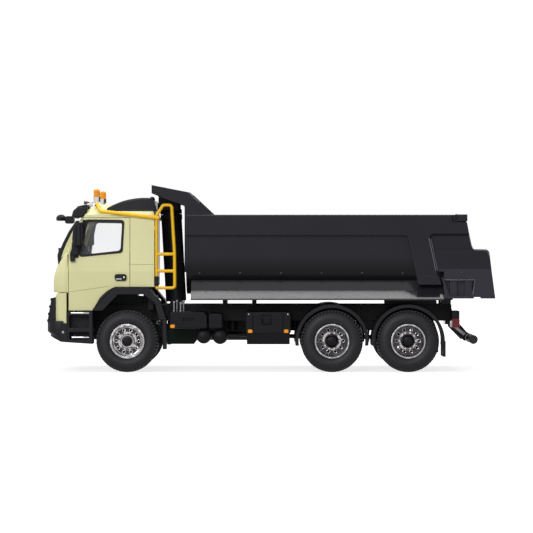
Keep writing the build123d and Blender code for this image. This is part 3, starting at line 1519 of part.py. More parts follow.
RUNNER_Y = (6.6, 8.2)
BEARERS_X = (18.6, 6.0, -6.6, -19.2, -31.8, -44.4, -57.0)
EAR_Y = (5.0, 6.4)
EAR_R = 1.8


def bed_subframe():
    """Two runners with cross bearers under the bed and the pivot ears at the tail."""
    front_x = 28.4
    rear_x = BED_PIVOT_X - 2.4
    frame = block((rear_x, front_x), RUNNER_Y, (RUNNER_BOTTOM_Z, BED_FLOOR_Z))
    frame = frame + mirrored(frame)
    wide = BED_SHELL_HALF - 4.0
    bearer = polygon((-wide, 26.6), (wide, 26.6), (wide - 1.6, 30.6), (1.6 - wide, 30.6))
    for x in BEARERS_X:
        frame = frame + (front_prism(bearer, x - 0.7, x + 0.7) - bed_solid())
    end_y = (-RUNNER_Y[1], RUNNER_Y[1])
    frame = frame + block((rear_x, BED_PIVOT_X + 2.4), end_y, (RUNNER_BOTTOM_Z, BED_FLOOR_Z))
    for side in (1, -1):
        ear = polygon(
            (BED_PIVOT_X - 1.9, RUNNER_BOTTOM_Z + 0.2), (BED_PIVOT_X + 1.9, RUNNER_BOTTOM_Z + 0.2),
            (BED_PIVOT_X + EAR_R, BED_PIVOT_Z), (BED_PIVOT_X - EAR_R, BED_PIVOT_Z),
        )
        y = sorted((side * EAR_Y[0], side * EAR_Y[1]))
        plate = side_prism(ear, *y)
        boss = rod((BED_PIVOT_X, y[0], BED_PIVOT_Z), (BED_PIVOT_X, y[1], BED_PIVOT_Z), EAR_R)
        frame = frame + plate + boss
    bore = rod((BED_PIVOT_X, -20, BED_PIVOT_Z), (BED_PIVOT_X, 20, BED_PIVOT_Z), BED_PIN_R + RUNNING_GAP)
    return frame - bore


def gate_x(z):
    """Outer face of the closed tailgate at a height, in line with the bed's rear edge."""
    slope = (TAIL_EDGE[1][0] - TAIL_EDGE[0][0]) / (TAIL_EDGE[0][1] - TAIL_EDGE[1][1])
    return TAIL_EDGE[0][0] + slope * (NOTCH_Z - z)


def tailgate():
    """Slanted plate between the bed sides, hung from a top beam with two arms."""
    low = BED_FLOOR_Z + BED_WALL + MOVING_GAP
    top = NOTCH_Z + MOVING_GAP
    plate = polygon(
        (gate_x(low), low), (gate_x(low) + GATE_WALL, low), (gate_x(top) + GATE_WALL, top), (gate_x(top), top)
    )
    opening = front_prism(pipe_outline(BED_WALL + MOVING_GAP), -100.0, 0.0)
    gate = side_prism(plate, -30.0, 30.0) & opening
    for y in (-14.0, 0.0, 14.0):
        rib_low = BED_FLOOR_Z + 4.0
        foot_x, head_x = gate_x(rib_low), gate_x(top)
        rib = polygon((foot_x - 0.6, rib_low), (foot_x, rib_low), (head_x, top), (head_x - 0.6, top))
        gate = gate + side_prism(rib, y - 0.6, y + 0.6)
    beam_x = (gate_x(top) - 0.2, gate_x(top) + 1.4)
    gate = gate + block(beam_x, (-BED_HALF, BED_HALF), (top, top + 2.5))
    for side in (1, -1):
        y = sorted((side * (BED_SHELL_HALF + SEAT_GAP), side * BED_HALF))
        arm = block((beam_x[1], GATE_PIVOT_X), y, (GATE_PIVOT_Z - 1.2, GATE_PIVOT_Z + 1.2))
        boss = rod((GATE_PIVOT_X, y[0], GATE_PIVOT_Z), (GATE_PIVOT_X, y[1], GATE_PIVOT_Z), 1.3)
        gate = gate + arm + boss
    bore = rod((GATE_PIVOT_X, -40, GATE_PIVOT_Z), (GATE_PIVOT_X, 40, GATE_PIVOT_Z), GATE_PIN_R + RUNNING_GAP)
    return gate - bore


# Hoist

HOIST_LENGTH = hypot(HOIST_EYE[0] - HOIST_FOOT[0], HOIST_EYE[1] - HOIST_FOOT[1])
HOIST_LEAN = degrees(atan2(HOIST_EYE[0] - HOIST_FOOT[0], HOIST_EYE[1] - HOIST_FOOT[1]))
BARREL_TOP = HOIST_LENGTH - 4.0
BARREL_FLOOR = 3.2


def on_hoist(shape):
    """Places a shape built along +Z from the foot pin on the leaning hoist axis."""
    return Pos(HOIST_FOOT[0], 0, HOIST_FOOT[1]) * (Rot(Y=HOIST_LEAN) * shape)


def hoist_stage_r(index):
    """Outer radius of a stage; 0 is the barrel, the last is the rod."""
    return BARREL_R - index * (HOIST_WALL + STAGE_GAP)


def hoist_tube(index, floor, top):
    outer = hoist_stage_r(index)
    wall = rod((0, 0, floor), (0, 0, top), outer)
    return wall - rod((0, 0, floor), (0, 0, top + 1), outer - HOIST_WALL)


def hoist_barrel():
    """Outer barrel with a closed foot and its pivot bore."""
    barrel = hoist_tube(0, BARREL_FLOOR - 0.2, BARREL_TOP)
    foot = rod((0, 0, 1.2), (0, 0, BARREL_FLOOR), BARREL_R)
    eye = rod((0, -HOIST_EAR_Y[0] + SHUT_GAP, 0), (0, HOIST_EAR_Y[0] - SHUT_GAP, 0), 2.2)
    bore = rod((0, -10, 0), (0, 10, 0), HOIST_PIN_R + RUNNING_GAP)
    collar = rod((0, 0, BARREL_TOP - 2.0), (0, 0, BARREL_TOP), BARREL_R + 0.2)
    collar = collar - rod((0, 0, BARREL_TOP - 3.0), (0, 0, BARREL_TOP + 1), BARREL_R - HOIST_WALL)
    return on_hoist(fused(barrel, foot, eye, collar) - bore)


def hoist_stage(index):
    floor = BARREL_FLOOR + 0.2 * index
    return on_hoist(hoist_tube(index, floor, BARREL_TOP + HOIST_STEP * index))


def hoist_rod():
    """Innermost rod with the eye that meets the bed's bracket."""
    index = 3
    radius = hoist_stage_r(index)
    floor = BARREL_FLOOR + 0.2 * index
    stem = rod((0, 0, floor), (0, 0, BARREL_TOP + HOIST_STEP * index), radius)
    neck = rod((0, 0, BARREL_TOP), (0, 0, HOIST_LENGTH), 1.1)
    half = HOIST_BRACKET_Y[0] - 0.4
    eye = rod((0, -half, HOIST_LENGTH), (0, half, HOIST_LENGTH), 1.5)
    bore = rod((0, -10, HOIST_LENGTH), (0, 10, HOIST_LENGTH), 0.7)
    return on_hoist(fused(stem, neck, eye) - bore)


# Nodes

def build():
    walls = cab_walls()
    left_door = door(walls)
    left_glass = door_glass()
    left_fittings = door_fittings()
    left_knuckle = knuckle()
    left_rim = front_rim()
    left_tyre = tyre(FRONT_AXLE_X, FRONT_WHEEL_Y)
    nodes = {
        "frame_ladder": frame_ladder(),
        "engine": engine(),
        "drive_line": drive_line(),
        "front_axle": front_axle(),
        "leaf_springs": leaf_springs(),
        "chassis_boxes": chassis_boxes(),
        "air_tanks": air_tanks(),
        "battery_box": battery_box(),
        "fuel_tank": fuel_tank(),
        "silencer": silencer(),
        "front_mudguards": front_mudguards(),
        "rear_mudguards": rear_mudguards(),
        "bumper": bumper(),
        "bumper_corners": solids_of(bumper_corners()),
        "grille": grille(),
        "headlamps": headlamps(),
        "entry_steps": entry_steps(),
        "side_markers": side_markers(),
        "tail_lamps": tail_lamps(),
        "underrun_bar": underrun_bar(),
        "cab_shell": cab_shell(walls),
        "windscreen": windscreen(),
        "windscreen_seal": windscreen_seal(),
        "cab_interior": cab_interior(),
        "steering_wheel": steering_wheel(),
        "sun_visor": sun_visor(),
        "roof_deflector": roof_deflector(),
        "handrail_and_ladder": handrail_and_ladder(),
        "beacon_bases": pair(beacon_base()),
        "beacon_lenses": pair(beacon_lens()),
        "air_horns": air_horns(),
        "door_left": left_door,
        "door_right": mirrored(left_door),
        "door_glass_left": left_glass,
        "door_glass_right": mirrored(left_glass),
        "door_fittings_left": left_fittings,
        "door_fittings_right": solids_of(mirrored(left_fittings)),
        "knuckle_left": left_knuckle,
        "knuckle_right": mirrored(left_knuckle),
        "tie_rod": tie_rod(),
        "front_rim_left": left_rim,
        "front_rim_right": mirrored(left_rim),
        "front_tyre_left": left_tyre,
        "front_tyre_right": mirrored(left_tyre),
        "bed_shell": bed_shell(),
        "bed_front_wall": bed_front_wall(),
        "bed_canopy": bed_canopy(),
        "bed_rails": bed_rails(),
        "bed_skirts": bed_skirts(),
        "bed_subframe": bed_subframe(),
        "tailgate": tailgate(),
        "hoist_barrel": hoist_barrel(),
        "hoist_stage_1": hoist_stage(1),
        "hoist_stage_2": hoist_stage(2),
        "hoist_rod": hoist_rod(),
    }
    for number, x in enumerate(REAR_AXLES_X, start=1):
        nodes[f"rear_rims_{number}"] = rear_rims(x)
        nodes[f"rear_tyres_{number}"] = rear_tyres(x)
    return nodes


os.makedirs("parts", exist_ok=True)
for name, shape in build().items():
    export_step(shape, f"parts/{name}.step")
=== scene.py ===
import json
import math

import bpy
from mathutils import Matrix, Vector


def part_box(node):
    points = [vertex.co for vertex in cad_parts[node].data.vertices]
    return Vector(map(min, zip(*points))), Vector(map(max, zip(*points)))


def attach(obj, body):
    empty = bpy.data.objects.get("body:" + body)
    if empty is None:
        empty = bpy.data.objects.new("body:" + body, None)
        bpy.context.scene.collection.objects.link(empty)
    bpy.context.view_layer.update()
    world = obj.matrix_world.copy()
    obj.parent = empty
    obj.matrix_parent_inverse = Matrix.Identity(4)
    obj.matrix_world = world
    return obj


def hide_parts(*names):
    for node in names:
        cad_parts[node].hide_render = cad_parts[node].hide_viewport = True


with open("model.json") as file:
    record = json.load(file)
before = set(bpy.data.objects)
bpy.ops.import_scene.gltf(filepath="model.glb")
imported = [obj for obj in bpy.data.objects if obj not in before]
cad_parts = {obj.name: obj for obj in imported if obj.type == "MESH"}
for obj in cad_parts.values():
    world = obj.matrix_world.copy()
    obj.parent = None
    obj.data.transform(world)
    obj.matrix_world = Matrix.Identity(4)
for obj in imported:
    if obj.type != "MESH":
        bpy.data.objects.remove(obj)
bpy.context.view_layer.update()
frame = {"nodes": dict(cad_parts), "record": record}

MM = 0.001

# Places shared with the CAD, in millimetres
AXLE_Z = 11.2
FRONT_AXLE_X = 51.7
REAR_AXLES_X = (-22.1, -49.6)
OUTER_WHEEL_Y = 21.9
INNER_WHEEL_Y = 15.2
TYRE_R = 11.2
TYRE_HALF = 3.1
RIM_SEAT_R = 5.9


# Small modelling steps

def deselect():
    bpy.ops.object.select_all(action="DESELECT")


def select_only(piece):
    deselect()
    piece.select_set(True)
    bpy.context.view_layer.objects.active = piece


def settle(piece):
    """Applies place, turn and size, so that the piece sits at the origin."""
    select_only(piece)
    bpy.ops.object.transform_apply(location=True, rotation=True, scale=True)
    return piece


def bevelled(piece, width, segments=2):
    select_only(piece)
    bpy.ops.object.modifier_add(type="BEVEL")
    bevel = piece.modifiers[-1]
    bevel.width = width * MM
    bevel.segments = segments
    bpy.ops.object.modifier_apply(modifier=bevel.name)
    return piece


def bar(x, y, z, bevel):
    """Box with bevelled edges between low and high values, in millimetres."""
    centre = [(pair[0] + pair[1]) / 2 * MM for pair in (x, y, z)]
    size = [abs(pair[1] - pair[0]) * MM for pair in (x, y, z)]
    deselect()
    bpy.ops.mesh.primitive_cube_add(size=1, location=centre)
    piece = bpy.context.object
    piece.scale = size
    return bevelled(settle(piece), bevel)


def round_bar(start, end, radius, sides=16):
    """Cylinder between two points, in millimetres."""
    start = Vector(start) * MM
    along = Vector(end) * MM - start
    deselect()
    bpy.ops.mesh.primitive_cylinder_add(
        vertices=sides,
        radius=radius * MM,
        depth=along.length,
        location=start + along / 2,
        rotation=along.to_track_quat("Z", "Y").to_euler(),
    )
    return settle(bpy.context.object)


def ring(centre, major, minor, normal, steps):
    deselect()
    bpy.ops.mesh.primitive_torus_add(
        major_radius=major * MM,
        minor_radius=minor * MM,
        major_segments=steps,
        minor_segments=8,
        location=Vector(centre) * MM,
        rotation=Vector(normal).to_track_quat("Z", "Y").to_euler(),
    )
    return settle(bpy.context.object)


def path(points):
    """Line through points in millimetres, drawn one after another."""
    deselect()
    bpy.ops.mesh.primitive_plane_add(size=MM)
    piece = bpy.context.object
    bpy.ops.object.mode_set(mode="EDIT")
    bpy.ops.mesh.select_all(action="SELECT")
    bpy.ops.mesh.merge(type="CENTER")
    bpy.ops.transform.translate(value=Vector(points[0]) * MM)
    for before, after in zip(points, points[1:]):
        step = (Vector(after) - Vector(before)) * MM
        bpy.ops.mesh.extrude_vertices_move(TRANSFORM_OT_translate={"value": step})
    bpy.ops.object.mode_set(mode="OBJECT")
    return piece


def turned(profile, x, z, steps):
    """Closed profile of (radius, y) points spun about the Y line through x, z."""
    piece = path([(x + radius, y, z) for radius, y in profile + profile[:1]])
    bpy.ops.object.mode_set(mode="EDIT")
    bpy.ops.mesh.select_all(action="SELECT")
    bpy.ops.mesh.spin(steps=steps, angle=2 * math.pi, center=(x * MM, 0, z * MM), axis=(0, 1, 0))
    bpy.ops.mesh.select_all(action="SELECT")
    bpy.ops.mesh.remove_doubles(threshold=0.002 * MM)
    bpy.ops.mesh.normals_make_consistent(inside=False)
    bpy.ops.object.mode_set(mode="OBJECT")
    return piece


def upright(profile, x, y, steps):
    """Closed profile of (radius, height) points turned about the upright line through x, y."""
    piece = turned(profile, 0, 0, steps)
    piece.rotation_euler = (math.radians(90), 0, 0)
    piece.location = (x * MM, y * MM, 0)
    return settle(piece)


def around(piece, x, z, count):
    """Repeats a piece evenly about the Y line through x, z."""
    select_only(piece)
    bpy.ops.object.mode_set(mode="EDIT")
    bpy.ops.mesh.select_all(action="SELECT")
    angle = 2 * math.pi * (count - 1) / count
    bpy.ops.mesh.spin(steps=count - 1, dupli=True, angle=angle, center=(x * MM, 0, z * MM), axis=(0, 1, 0))
    bpy.ops.object.mode_set(mode="OBJECT")
    return piece


def joined(pieces):
    deselect()
    for piece in pieces:
        piece.select_set(True)
    bpy.context.view_layer.objects.active = pieces[0]
    if len(pieces) > 1:
        bpy.ops.object.join()
    return bpy.context.object


# Flat plates stay flat-shaded up to their bevels, which turn in steps above this angle
PLATE_ANGLE = 10


def smooth(piece, degrees=35):
    select_only(piece)
    bpy.ops.object.shade_smooth_by_angle(angle=math.radians(degrees))
    return piece


def mirrored(piece):
    """Copy of a piece on the other side of the truck."""
    select_only(piece)
    bpy.ops.object.duplicate()
    copy = bpy.context.object
    copy.scale = (1, -1, 1)
    settle(copy)
    bpy.ops.object.mode_set(mode="EDIT")
    bpy.ops.mesh.select_all(action="SELECT")
    bpy.ops.mesh.normals_make_consistent(inside=False)
    bpy.ops.object.mode_set(mode="OBJECT")
    return copy


def cut_ball(cut, segments, rings):
    """Ball of radius 1 with its underside cut off flat."""
    deselect()
    bpy.ops.mesh.primitive_uv_sphere_add(segments=segments, ring_count=rings, radius=1.0)
    piece = bpy.context.object
    bpy.ops.object.mode_set(mode="EDIT")
    bpy.ops.mesh.select_all(action="SELECT")
    bpy.ops.mesh.bisect(plane_co=(0, 0, cut), plane_no=(0, 0, 1), use_fill=True, clear_inner=True)
    bpy.ops.object.mode_set(mode="OBJECT")
    return piece


def dome(centre, normal, radius, height):
    """Low round head on a surface, flat side down."""
    piece = cut_ball(-0.2, 16, 10)
    piece.scale = (radius * MM, radius * MM, height * MM)
    piece.rotation_euler = Vector(normal).to_track_quat("Z", "Y").to_euler()
    piece.location = Vector(centre) * MM
    return settle(piece)


HEAD_SINK = 0.1


def hex_head(centre, normal, across, height):
    """Bolt head: six-sided, sunk a little into its surface, with its edges eased."""
    centre = Vector(centre)
    normal = Vector(normal)
    head = round_bar(centre - normal * HEAD_SINK, centre + normal * height, across / 2, 6)
    return bevelled(head, across * 0.12, 1)


def sheet(outline):
    """Flat face inside an outline of points in millimetres."""
    piece = path(outline)
    bpy.ops.object.mode_set(mode="EDIT")
    bpy.ops.mesh.select_all(action="SELECT")
    bpy.ops.mesh.edge_face_add()
    bpy.ops.object.mode_set(mode="OBJECT")
    return piece


def bead(points, radius):
    """Round bead along a line of points in millimetres."""
    select_only(path(points))
    bpy.ops.object.convert(target="CURVE")
    line = bpy.context.object
    line.data.bevel_depth = radius * MM
    line.data.bevel_resolution = 3
    line.data.use_fill_caps = True
    bpy.ops.object.convert(target="MESH")
    return bpy.context.object


def raised(piece, steps, rear=0.0):
    """Pushes a flat face out into a solid, step by step.

    Each step is a travel in millimetres and the share of the length ahead of the rear line that is kept."""
    select_only(piece)
    bpy.ops.object.mode_set(mode="EDIT")
    bpy.ops.mesh.select_all(action="SELECT")
    for travel, share in steps:
        bpy.ops.mesh.extrude_region_move(TRANSFORM_OT_translate={"value": Vector(travel) * MM})
        if share != 1.0:
            bpy.ops.transform.resize(value=(share, 1.0, 1.0), center_override=(rear * MM, 0, 0))
    bpy.ops.mesh.select_all(action="SELECT")
    bpy.ops.mesh.normals_make_consistent(inside=False)
    bpy.ops.object.mode_set(mode="OBJECT")
    return piece


def cheek(profile, y_low, y_high, bevel):
    """Plate with an outline of (x, z) points, between two distances from the middle plane."""
    plate = raised(sheet([(x, y_low, z) for x, z in profile]), [((0, y_high - y_low, 0), 1.0)])
    return bevelled(plate, bevel, 3)


def both_sides(pieces):
    return pieces + [mirrored(piece) for piece in pieces]


def paired(pieces, degrees=35):
    """Left-hand pieces and their mirror images as one smooth-shaded piece."""
    return smooth(joined(both_sides(pieces)), degrees)


# Shader wiring

class Wire:
    """A value in a shader, open to plain sums."""

    def __init__(self, shade, socket):
        self.shade = shade
        self.socket = socket

    def _sum(self, operation, first, second):
        node = self.shade.node("ShaderNodeMath", {0: first, 1: second}, operation=operation)
        return Wire(self.shade, node.outputs[0])

    def __add__(self, other):
        return self._sum("ADD", self, other)

    def __radd__(self, other):
        return self._sum("ADD", other, self)

    def __sub__(self, other):
        return self._sum("SUBTRACT", self, other)

    def __rsub__(self, other):
        return self._sum("SUBTRACT", other, self)

    def __mul__(self, other):
        return self._sum("MULTIPLY", self, other)

    def __truediv__(self, other):
        return self._sum("DIVIDE", self, other)

    def __pow__(self, other):
        return self._sum("POWER", self, other)

    def above(self, other):
        return self._sum("GREATER_THAN", self, other)

    def below(self, other):
        return self._sum("LESS_THAN", self, other)

    def least(self, other):
        return self._sum("MINIMUM", self, other)

    def rising(self, low, high):
        """0 below low, 1 above high, and a soft step between."""
        settings = {"Value": self, "From Min": low, "From Max": high}
        node = self.shade.node("ShaderNodeMapRange", settings, interpolation_type="SMOOTHSTEP")
        return Wire(self.shade, node.outputs[0])


class Shade:
    """One procedural material."""

    def __init__(self, name):
        self.material = bpy.data.materials.new(name)
        self.material.use_nodes = True
        self.tree = self.material.node_tree
        self.tree.nodes.clear()
        self.coords = self.node("ShaderNodeTexCoord").outputs["Object"]

    def node(self, kind, inputs=None, **settings):
        node = self.tree.nodes.new(kind)
        for key, value in settings.items():
            setattr(node, key, value)
        for key, value in (inputs or {}).items():
            if isinstance(value, Wire):
                value = value.socket
            if isinstance(value, bpy.types.NodeSocket):
                self.tree.links.new(value, node.inputs[key])
            else:
                node.inputs[key].default_value = value
        return node

    def noise(self, scale, detail):
        node = self.node("ShaderNodeTexNoise", {"Vector": self.coords, "Scale": scale, "Detail": detail})
        return Wire(self, node.outputs[0])

    def axes(self):
        node = self.node("ShaderNodeSeparateXYZ", {0: self.coords})
        return [Wire(self, output) for output in node.outputs]

    def facing_up(self):
        normal = self.node("ShaderNodeNewGeometry").outputs["Normal"]
        return Wire(self, self.node("ShaderNodeSeparateXYZ", {0: normal}).outputs[2])

    def blend(self, share, first, second):
        node = self.node("ShaderNodeMix", {"Factor": share}, data_type="RGBA")
        for index, value in ((6, first), (7, second)):
            if isinstance(value, Wire):
                self.tree.links.new(value.socket, node.inputs[index])
            else:
                node.inputs[index].default_value = (*value, 1.0)
        return Wire(self, node.outputs[2])

    def bump(self, height, distance, under=None):
        inputs = {"Height": height, "Distance": distance, "Strength": 1.0}
        if under:
            inputs["Normal"] = under
        return Wire(self, self.node("ShaderNodeBump", inputs).outputs[0])

    def eased_edges(self, width):
        """Normal that rounds sharp edges over a width in millimetres, so that they catch the light."""
        return Wire(self, self.node("ShaderNodeBevel", {"Radius": width * MM}, samples=6).outputs[0])

    def surface(self, base, roughness, **extra):
        inputs = {"Base Color": base, "Roughness": roughness}
        for key, value in extra.items():
            inputs[key.replace("_", " ")] = value
        shader = self.node("ShaderNodeBsdfPrincipled", inputs)
        self.node("ShaderNodeOutputMaterial", {"Surface": shader.outputs[0]})
        return self.material


def tone(colour, factor):
    return tuple(min(1.0, channel * factor) for channel in colour)


# The lower flank of the tail lies behind this x and below this height
FLANK_X = -60.8
FLANK_Z = 37.3


def bed_painted_shade_and_flank(shade, base, colour):
    """Darker with painted shade where the bed's sides turn under and face down, and paler on the lower
    flanks of the tail.
    """
    x, _, z = shade.axes()
    # Painted shade: faces that point down are darkened
    under = (0 - shade.facing_up()).rising(0.05, 0.5)
    flank = (x / MM).below(FLANK_X) * (z / MM).below(FLANK_Z)
    return shade.blend(flank * 0.8, shade.blend(under, base, tone(colour, 0.3)), tone(colour, 2.1))


def satin_paint(name, colour, roughness, shine, painted_shade_and_flank=None, peel_depth=0.00002):
    """Sprayed paint on cast metal: faint mottling, orange peel and a paler tone on faces that point up."""
    shade = Shade(name)
    mottle = shade.noise(70.0, 3.0)
    grain = shade.noise(2600.0, 2.0)
    speck = shade.noise(5200.0, 1.0).rising(0.68, 0.78)
    paint = shade.blend(mottle, tone(colour, 0.93), tone(colour, 1.07))
    specked = shade.blend(speck * 0.25, paint, tone(colour, 1.6))
    paler_on_top = shade.facing_up().rising(0.6, 1.0) * (0.15 + mottle * 0.2)
    base = shade.blend(paler_on_top, specked, tone(colour, 1.25))
    # An optional hook paints shade over the paint, as the bed's does
    if painted_shade_and_flank:
        base = painted_shade_and_flank(shade, base, colour)
    rough = roughness + (mottle - 0.5) * 0.10 + (grain - 0.5) * 0.06
    peel = shade.bump(shade.noise(900.0, 1.0), peel_depth, shade.eased_edges(0.3))
    return shade.surface(base, rough, Normal=peel, Specular_IOR_Level=shine)


def grained_plastic(name, colour, roughness):
    """Moulded plastic with a fine even grain."""
    shade = Shade(name)
    grain = shade.noise(3200.0, 2.0)
    cloud = shade.noise(90.0, 2.0)
    base = shade.blend(cloud, tone(colour, 0.85), tone(colour, 1.2))
    rough = roughness + (grain - 0.5) * 0.16
    normal = shade.bump(grain, 0.00003, shade.eased_edges(0.25))
    return shade.surface(base, rough, Normal=normal, Specular_IOR_Level=0.12)


def bright_plating(name, colour, roughness):
    """Vacuum-plated metal with a slightly uneven polish."""
    shade = Shade(name)
    cloud = shade.noise(160.0, 3.0)
    base = shade.blend(cloud, tone(colour, 0.9), tone(colour, 1.05))
    return shade.surface(base, roughness + (cloud - 0.5) * 0.12, Metallic=1.0)


# Bands of a rim by radius, each brightened by a painted reflection: each pair is where a band starts and
# where it is full
RIM_LIP = (5.72, 5.86)
RIM_BARREL = (4.75, 4.95)
HUB_FLANGE = (1.9, 2.05)
HUB_FLANGE_END = (3.3, 3.5)
# Painted dark reflection in the chrome dish
DISH_PAINTED_REFLECTION = (0.035, 0.033, 0.036)


def rim_plating_painted_reflections(name, colour):
    """Plated rims with painted reflections: dark in the dish, and bright bands with painted glints at the
    lip, the barrel (brighter on the front wheels) and the hub flange, banded by the distance from the
    nearest axle.
    """
    shade = Shade(name)
    x, _, z = shade.axes()
    up = z / MM - AXLE_Z
    along = None
    for axle_x in (FRONT_AXLE_X, *REAR_AXLES_X):
        offset = x / MM - axle_x
        square = offset * offset
        along = along.least(square) if along else square
    radius = (along + up * up) ** 0.5
    cloud = shade.noise(420.0, 3.0)
    painted_glint = shade.noise(650.0, 1.0).rising(0.50, 0.62)
    front = x.above(0.0)
    lip = radius.rising(*RIM_LIP)
    barrel = radius.rising(*RIM_BARREL) * (1 - lip)
    flange = radius.rising(*HUB_FLANGE) * (1 - radius.rising(*HUB_FLANGE_END))
    # Painted reflections and glints: the bright share of each band, most on the front wheels' barrels
    share = lip * (0.45 + painted_glint * 0.35)
    share = share + barrel * (front * (0.35 + painted_glint * 0.5) + (1 - front) * 0.06)
    share = share + flange * (0.12 + painted_glint * 0.55)
    base = shade.blend(share.least(1.0), DISH_PAINTED_REFLECTION, colour)
    rough = 0.2 + (cloud - 0.5) * 0.12
    return shade.surface(base, rough, Metallic=1.0, Normal=shade.eased_edges(0.12))


def clear_pane(name, colour, alpha):
    """Thin clear plastic, faintly clouded."""
    shade = Shade(name)
    cloud = shade.noise(120.0, 2.0)
    base = shade.blend(cloud, tone(colour, 0.95), colour)
    material = shade.surface(base, 0.04 + cloud * 0.04, Alpha=alpha + (cloud - 0.5) * 0.03)
    material.surface_render_method = "BLENDED"
    return material


def tinted_lens(name, colour, glow):
    """Tinted clear plastic, ribbed inside, with a faint painted glow that makes it a little brighter than
    its surroundings.
    """
    shade = Shade(name)
    cloud = shade.noise(300.0, 2.0)
    ribs = shade.node("ShaderNodeTexWave", {"Vector": shade.coords, "Scale": 420.0}, bands_direction="Z")
    rib = Wire(shade, ribs.outputs["Fac"])
    base = shade.blend(cloud * 0.5 + rib * 0.5, tone(colour, 0.6), tone(colour, 1.15))
    rough = 0.12 + cloud * 0.08
    # Painted glow: the lens emits light of its own colour
    return shade.surface(base, rough, Emission_Color=base, Emission_Strength=glow, Specular_IOR_Level=0.25)


RUBBER_DARK = (0.005, 0.0048, 0.0062)
RUBBER_PALE = (0.010, 0.0096, 0.0120)


def rubber(name):
    """Tyre rubber, cloudy and with a fine grain."""
    shade = Shade(name)
    grain = shade.noise(2200.0, 3.0)
    cloud = shade.noise(120.0, 3.0)
    base = shade.blend(cloud, RUBBER_DARK, RUBBER_PALE)
    rough = 0.5 + (grain - 0.5) * 0.2
    return shade.surface(base, rough, Normal=shade.bump(grain, 0.00004), Specular_IOR_Level=0.22)


MATERIALS = {
    "cab_cream": satin_paint("cab_cream", (0.645, 0.625, 0.335), 0.34, 0.3),
    "bed_grey": satin_paint("bed_grey", (0.0155, 0.0145, 0.0190), 0.26, 0.12, bed_painted_shade_and_flank),
    "skirt_gloss": satin_paint("skirt_gloss", (0.0170, 0.0160, 0.0205), 0.15, 0.4, peel_depth=0.000005),
    # Painted highlight: a paler, glossier bed paint for the edge beads
    "edge_painted_highlight": satin_paint("edge_painted_highlight", (0.060, 0.058, 0.064), 0.18, 0.9),
    "chassis_black": satin_paint("chassis_black", (0.0055, 0.0054, 0.0070), 0.42, 0.10),
    "black_plastic": grained_plastic("black_plastic", (0.0095, 0.0092, 0.0115), 0.42),
    "interior_grey": grained_plastic("interior_grey", (0.012, 0.012, 0.014), 0.6),
    "tank_grey": satin_paint("tank_grey", (0.0090, 0.0088, 0.0110), 0.36, 0.16),
    "rail_yellow": satin_paint("rail_yellow", (0.80, 0.46, 0.004), 0.3, 0.3),
    "engine_green": satin_paint("engine_green", (0.003, 0.011, 0.006), 0.4, 0.1),
    "rim_metal": rim_plating_painted_reflections("rim_metal", (0.62, 0.60, 0.61)),
    "nut_plating": bright_plating("nut_plating", (0.60, 0.58, 0.59), 0.18),
    "dull_metal": bright_plating("dull_metal", (0.20, 0.20, 0.21), 0.35),
    "tyre_black": rubber("tyre_black"),
    "window": clear_pane("window", (0.75, 0.78, 0.86), 0.06),
    "clear_lens": clear_pane("clear_lens", (0.85, 0.87, 0.90), 0.5),
    "amber_lens": tinted_lens("amber_lens", (0.80, 0.29, 0.010), 0.15),
    "red_lens": tinted_lens("red_lens", (0.13, 0.004, 0.010), 0.05),
    "bright_metal": bright_plating("bright_metal", (0.60, 0.59, 0.60), 0.16),
}


def dress(piece, material):
    piece.data.materials.clear()
    piece.data.materials.append(MATERIALS[material])


for entry in frame["record"]["subparts"]:
    dress(frame["nodes"][entry["node"]], entry["material_slot"])
dress(frame["nodes"]["bed_skirts"], "skirt_gloss")
for box in ("chassis_boxes", "battery_box"):
    dress(frame["nodes"][box], "chassis_black")


def fit_on(piece, name, body, slot, finish=None):
    """Names a new piece, hangs it on its body and gives it its finish."""
    piece.name = name
    piece.data.name = name
    dress(piece, finish or slot)
    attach(piece, body)


def fit_doors(piece, name, slot):
    """Hangs a left-hand piece on the left door and its mirror image on the right one."""
    for label, half in zip(("left", "right"), both_sides([piece])):
        fit_on(half, f"{name}_{label}", f"door_{label}", slot)


# Tyres with shoulder lugs and ribs

LUGS = 54
LUG_HALF = 0.28


def tyre(x, y):
    half = TYRE_HALF
    flank = [
        (RIM_SEAT_R, half - 0.85),
        (RIM_SEAT_R + 0.4, half - 0.5),
        (RIM_SEAT_R + 0.7, half - 0.45),
        (RIM_SEAT_R + 0.9, half - 0.3),
        (RIM_SEAT_R + 1.7, half - 0.06),
        (RIM_SEAT_R + 2.3, half),
        (TYRE_R - 2.4, half - 0.06),
        (TYRE_R - 1.8, half - 0.22),
        (TYRE_R - 1.7, half - 0.3),
        (TYRE_R - 1.1, half - 0.55),
        (TYRE_R - 0.7, half - 0.85),
        (TYRE_R - 0.4, half - 1.25),
    ]
    rib = [
        (TYRE_R - 0.4, half - 1.6),
        (TYRE_R - 0.02, half - 1.6),
        (TYRE_R - 0.02, 0.25),
        (TYRE_R - 0.4, 0.25),
    ]
    side = flank + rib
    profile = [(r, y - a) for r, a in side] + [(r, y + a) for r, a in reversed(side)]
    carcass = turned(profile, x, AXLE_Z, 72)
    crown = AXLE_Z + TYRE_R
    lugs = []
    for sign in (1, -1):
        edge = sign * (half - 0.5)
        inner = sign * (half - 1.7)
        lug = bar((x - LUG_HALF, x + LUG_HALF), (y + inner, y + edge), (crown - 1.0, crown - 0.03), 0.08)
        lugs.append(around(lug, x, AXLE_Z, LUGS))
    return joined([carcass] + lugs)


